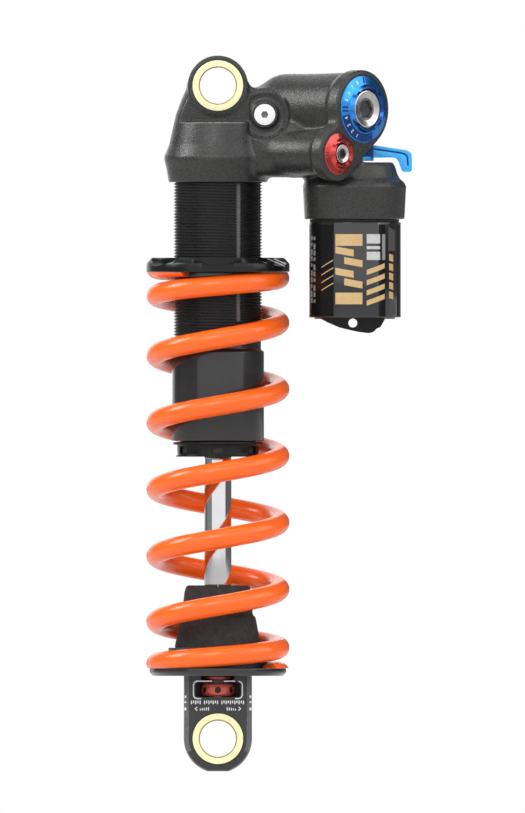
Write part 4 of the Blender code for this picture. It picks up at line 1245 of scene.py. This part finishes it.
# ---------------------------------------------------------------- lower eyelet
def make_eyelet():
    eye_z, radius, flat_z = LOWER_EYE.z, 12.0, bottom("lower_eyelet")
    flat_deg = math.degrees(math.asin((flat_z - eye_z) / radius))
    right = arc((0.0, eye_z), radius, 0.0, flat_deg, 24)
    outline = [(-x, z) for x, z in right] + right[::-1] + [(11.97, -203.0), (-11.97, -203.0)]
    eyelet = add_piece("eyelet_body", *prism_mesh(outline, EYE_HALF, -EYE_HALF), "eyelet", None,
                       FACING_FRONT)
    bevel(eyelet, 1.8, 2, 60.0)
    combine(eyelet, tool_disc(EYE_BORE_R, 20.0, -20.0, at(LOWER_EYE, FACING_FRONT), 96))
    window = soften(box_outline((-7.95, -215.4), (7.95, -210.1)), 1.2, True, 5)
    for opening in (window, box_outline((-5.9, -209.5), (5.9, -200.0))):
        combine(eyelet, tool(*prism_mesh(opening, 20.0, -6.5), FACING_FRONT))
    combine(eyelet, tool_disc(3.7, -200.0, -220.7))
    cut_slab(eyelet, -207.87, -190.0)
    finish_piece(eyelet, "eyelet", "shaft_assembly", 30.0)
    # the side chamfers take a lighter finish as a painted highlight
    second_look(eyelet, "eyelet_painted_highlight", lambda _, normal: min(abs(normal.x), abs(normal.y)) > 0.35)
    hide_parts("lower_eyelet")
    make_eyelet_marks()
    make_rings()


def make_eyelet_marks():
    """The window's white border, the direction chevrons and rows of plain dashes."""
    face = EYE_HALF + 0.03
    routes = [
        [(-5.9, -215.85), (-7.5, -215.85), (-8.2, -215.5), (-8.6, -214.7), (-8.6, -210.9),
         (-8.2, -210.1), (-7.4, -209.72), (-2.1, -209.72)],
        [(2.1, -209.72), (6.1, -209.72)],
        [(7.3, -209.75), (8.2, -210.1), (8.6, -210.9), (8.6, -214.7), (8.2, -215.5),
         (7.5, -215.85), (6.0, -215.85)],
    ]
    marks = [ink_stroke(route, 0.42, face) for route in routes]
    for side in (-1, 1):
        chevron = [(side * 7.3, -218.85), (side * 8.05, -219.45), (side * 7.3, -220.05)]
        marks.append(ink_stroke(chevron, 0.36, face))
        for k in range(5):
            x = side * (3.3 + 0.72 * k)
            marks.append(ink_stroke([(x, -218.85 - 0.13 * k), (x, -220.05)], 0.34, face))
    groups = ((-9.3, 5), (-4.7, 7), (1.4, 11))
    for start, count in groups:
        for k in range(count):
            x = start + 0.76 * k
            low = (-217.85, -217.5)[k % 2]
            marks.append(ink_stroke([(x, -216.55), (x, low)], 0.40, face))
    for side in (-1, 1):
        chamfer = at((side * 11.47, -6.47, 0.0), Matrix.Rotation(side * math.pi / 4, 4, "Z"))
        for z, height in ((-215.2, 0.9), (-217.1, 0.6), (-219.5, 1.0)):
            marks.append(ink_stroke([(-0.42, z), (0.42, z)], height, 0.03, chamfer))
    join_pieces("eyelet_marks", marks, "white_ink", "shaft_assembly")


def ink_stroke(route, width, face, place=Matrix.Identity(4)):
    mesh = prism_mesh(stroke_outline(route, width), face, face - 0.12)
    obj = add_piece("ink", *mesh, "white_ink", None, place @ FACING_FRONT)
    fix_normals(obj)
    return obj


def make_rings():
    barrel = [(5.5, -210.45), (6.0, -211.0), (6.2, -212.0), (6.2, -213.6), (6.0, -214.5), (5.5, -215.1),
              (3.8, -215.1), (3.8, -210.45)]
    hsr = lathe("high_speed_ring_body", barrel, "ring_red", "high_speed_ring", edge=0.15)
    hole_z, hole_r, shade_r = -212.8, 1.12, 1.16
    # dark discs inside the holes as painted shade
    disc = lathe_mesh([(0.0, 5.75), (shade_r, 5.75), (shade_r, 5.3), (0.0, 5.3)], 24, False)
    shades = []
    for angle in ring_of(7):
        place = at((0.0, 0.0, hole_z), Matrix.Rotation(angle, 4, "Z") @ FACING_FRONT)
        combine(hsr, tool_disc(hole_r, 8.0, 4.4, place, 24))
        shades.append(add_piece("shade", *disc, "socket", None, place))
    finish_piece(hsr, "ring_red", "high_speed_ring", 30.0)
    join_pieces("high_speed_ring_hole_shade", shades, "socket", "high_speed_ring")
    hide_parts("high_speed_rebound_ring")
    band = [(5.3, -208.1), (5.3, -209.2), (3.8, -209.2), (3.8, -208.1)]
    lsr = lathe("low_speed_ring_body", band, "ring_red", "low_speed_ring", edge=0.25)
    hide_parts("low_speed_rebound_ring")


# ---------------------------------------------------------------- inner CAD parts
INNER_LOOKS = {
    "steel": "steel", "bronze": "bronze", "soft_rubber": "rubber", "white_plastic": "white_plastic",
    "polished_steel": "chrome", "cast_black": "cast", "anodised_black": "tube_black",
    "bush_yellow": "bush", "blue_anodised": "blue", "red_anodised": "red",
    "spring_orange": "orange",
}


def dress_inner_parts():
    """Give every CAD part that stays its own finish."""
    slots = {part["node"]: part["material_slot"] for part in frame["record"]["subparts"]}
    for name, obj in frame["nodes"].items():
        look = FINISH[INNER_LOOKS[slots[name]]].material
        if not obj.material_slots:
            obj.data.materials.append(look)
        for index in range(len(obj.material_slots)):
            obj.material_slots[index].material = look


# ---------------------------------------------------------------- studio
# the camera's picture height in metres, and its centre and distance in millimetres
VIEW_CENTRE = Vector((15.71, 0.0, -113.0))
VIEW_HEIGHT = 0.2863
VIEW_DISTANCE = 900.0
FLOOR_Z = -262.0
LIGHTS_AIM = Vector((10.0, 0.0, -110.0))
# each light's place, width, height and power
LIGHTS = {
    "left_key": ((-700.0, -60.0, 400.0), 340.0, 440.0, 3.8),
    "upper_front": ((-160.0, -640.0, 300.0), 260.0, 260.0, 0.8),
    "overhead": ((40.0, -60.0, 520.0), 420.0, 420.0, 0.8),
    "rear": ((-80.0, 640.0, 120.0), 420.0, 520.0, 0.9),
}
# soft boxes in the world: a strength, and the start, end and blur of each limit.  The
# azimuth is 0 at the front and grows towards +X; the height is the direction's Z.
WORLD_BASE = 0.16
WORLD_BOXES = {
    "front": (1.14, {"azimuth": (-0.95, 1.20, 0.05), "height": (-0.16, 0.85, 0.10)}),
    "upper": (0.70, {"azimuth": (-1.9, 1.5, 0.2), "height": (0.26, 0.80, 0.12)}),
    "beside": (0.16, {"azimuth": (-1.90, -0.90, 0.15)}),
    "corner": (2.4, {"azimuth": (1.05, 1.80, 0.08), "height": (0.12, 0.78, 0.06)}),
    "left": (0.9, {"azimuth": (-2.85, -2.40, 0.06)}),
    "above": (0.5, {"height": (0.80, 1.3, 0.1)}),
}


def make_studio():
    floor = bpy.data.objects.new("studio_floor", bpy.data.meshes.new("studio_floor"))
    reach = 3000.0
    corners = [(-reach, -reach, FLOOR_Z), (reach, -reach, FLOOR_Z), (reach, reach, FLOOR_Z),
               (-reach, reach, FLOOR_Z)]
    floor.data.from_pydata([tuple(Vector(c) * MM) for c in corners], [], [[0, 1, 2, 3]])
    bpy.context.scene.collection.objects.link(floor)
    pale = Finish("studio_floor", (0.74, 0.74, 0.74), 0.7).mottle(60.0, 0.01)
    floor.data.materials.append(pale.material)
    make_world()
    for name, values in LIGHTS.items():
        make_light(name, *values)


def make_light(name, place, width, height, power):
    light = bpy.data.lights.new(name, "AREA")
    light.shape = "RECTANGLE"
    light.size = width * MM
    light.size_y = height * MM
    light.energy = power
    obj = bpy.data.objects.new(name, light)
    obj.location = Vector(place) * MM
    obj.rotation_euler = (LIGHTS_AIM - Vector(place)).to_track_quat("-Z", "Y").to_euler()
    bpy.context.scene.collection.objects.link(obj)


def make_world():
    """White to the camera, and the soft boxes of WORLD_BOXES to everything else."""
    world = bpy.data.worlds.new("studio")
    bpy.context.scene.world = world
    world.use_nodes = True
    tree = world.node_tree
    tree.nodes.clear()
    output = tree.nodes.new("ShaderNodeOutputWorld")
    direction = tree.nodes.new("ShaderNodeTexCoord").outputs["Generated"]
    split = tree.nodes.new("ShaderNodeSeparateXYZ")
    tree.links.new(direction, split.inputs["Vector"])

    def math_node(kind, *values):
        node = tree.nodes.new("ShaderNodeMath")
        node.operation = kind
        for index, value in enumerate(values):
            if isinstance(value, (int, float)):
                node.inputs[index].default_value = value
            else:
                tree.links.new(value, node.inputs[index])
        return node.outputs["Value"]

    def ramp(value, start, end, first, last):
        node = tree.nodes.new("ShaderNodeMapRange")
        node.interpolation_type = "SMOOTHSTEP"
        tree.links.new(value, node.inputs["Value"])
        fill_inputs(node, {"From Min": start, "From Max": end, "To Min": first, "To Max": last})
        return node.outputs["Result"]

    def band(value, low, high, soft):
        rise = ramp(value, low, low + soft, 0.0, 1.0)
        return math_node("MULTIPLY", rise, ramp(value, high - soft, high, 1.0, 0.0))

    turned = math_node("MULTIPLY", split.outputs["Y"], -1.0)
    axes = {"azimuth": math_node("ARCTAN2", split.outputs["X"], turned),
            "height": split.outputs["Z"]}
    total = WORLD_BASE
    for strength, limits in WORLD_BOXES.values():
        masks = [band(axes[axis], *limit) for axis, limit in limits.items()]
        mask = masks[0] if len(masks) == 1 else math_node("MULTIPLY", *masks)
        total = math_node("MULTIPLY_ADD", mask, strength, total)
    seen = tree.nodes.new("ShaderNodeBackground")
    lit = tree.nodes.new("ShaderNodeBackground")
    tree.links.new(total, lit.inputs["Strength"])
    mix = tree.nodes.new("ShaderNodeMixShader")
    path = tree.nodes.new("ShaderNodeLightPath")
    tree.links.new(path.outputs["Is Camera Ray"], mix.inputs["Fac"])
    tree.links.new(lit.outputs["Background"], mix.inputs[1])
    tree.links.new(seen.outputs["Background"], mix.inputs[2])
    tree.links.new(mix.outputs["Shader"], output.inputs["Surface"])
    fill_inputs(seen, {"Color": (1.0, 1.0, 1.0, 1.0), "Strength": 1.0})


def make_camera():
    camera = bpy.data.cameras.new("camera")
    camera.type = "ORTHO"
    camera.ortho_scale = VIEW_HEIGHT
    camera.clip_end = 10.0
    obj = bpy.data.objects.new("camera", camera)
    obj.location = (VIEW_CENTRE + Vector((0.0, -VIEW_DISTANCE, 0.0))) * MM
    obj.rotation_euler = (math.pi / 2, 0.0, 0.0)
    bpy.context.scene.collection.objects.link(obj)
    bpy.context.scene.camera = obj
    bpy.context.scene.view_settings.view_transform = "Standard"


dress_inner_parts()
make_head()
make_bushes()
make_bleed_screw()
make_adjusters()
make_lever()
make_reservoir()
make_tube()
make_shaft()
make_bumper()
make_retainer()
make_preload()
make_spring()
make_eyelet()
make_studio()
make_camera()
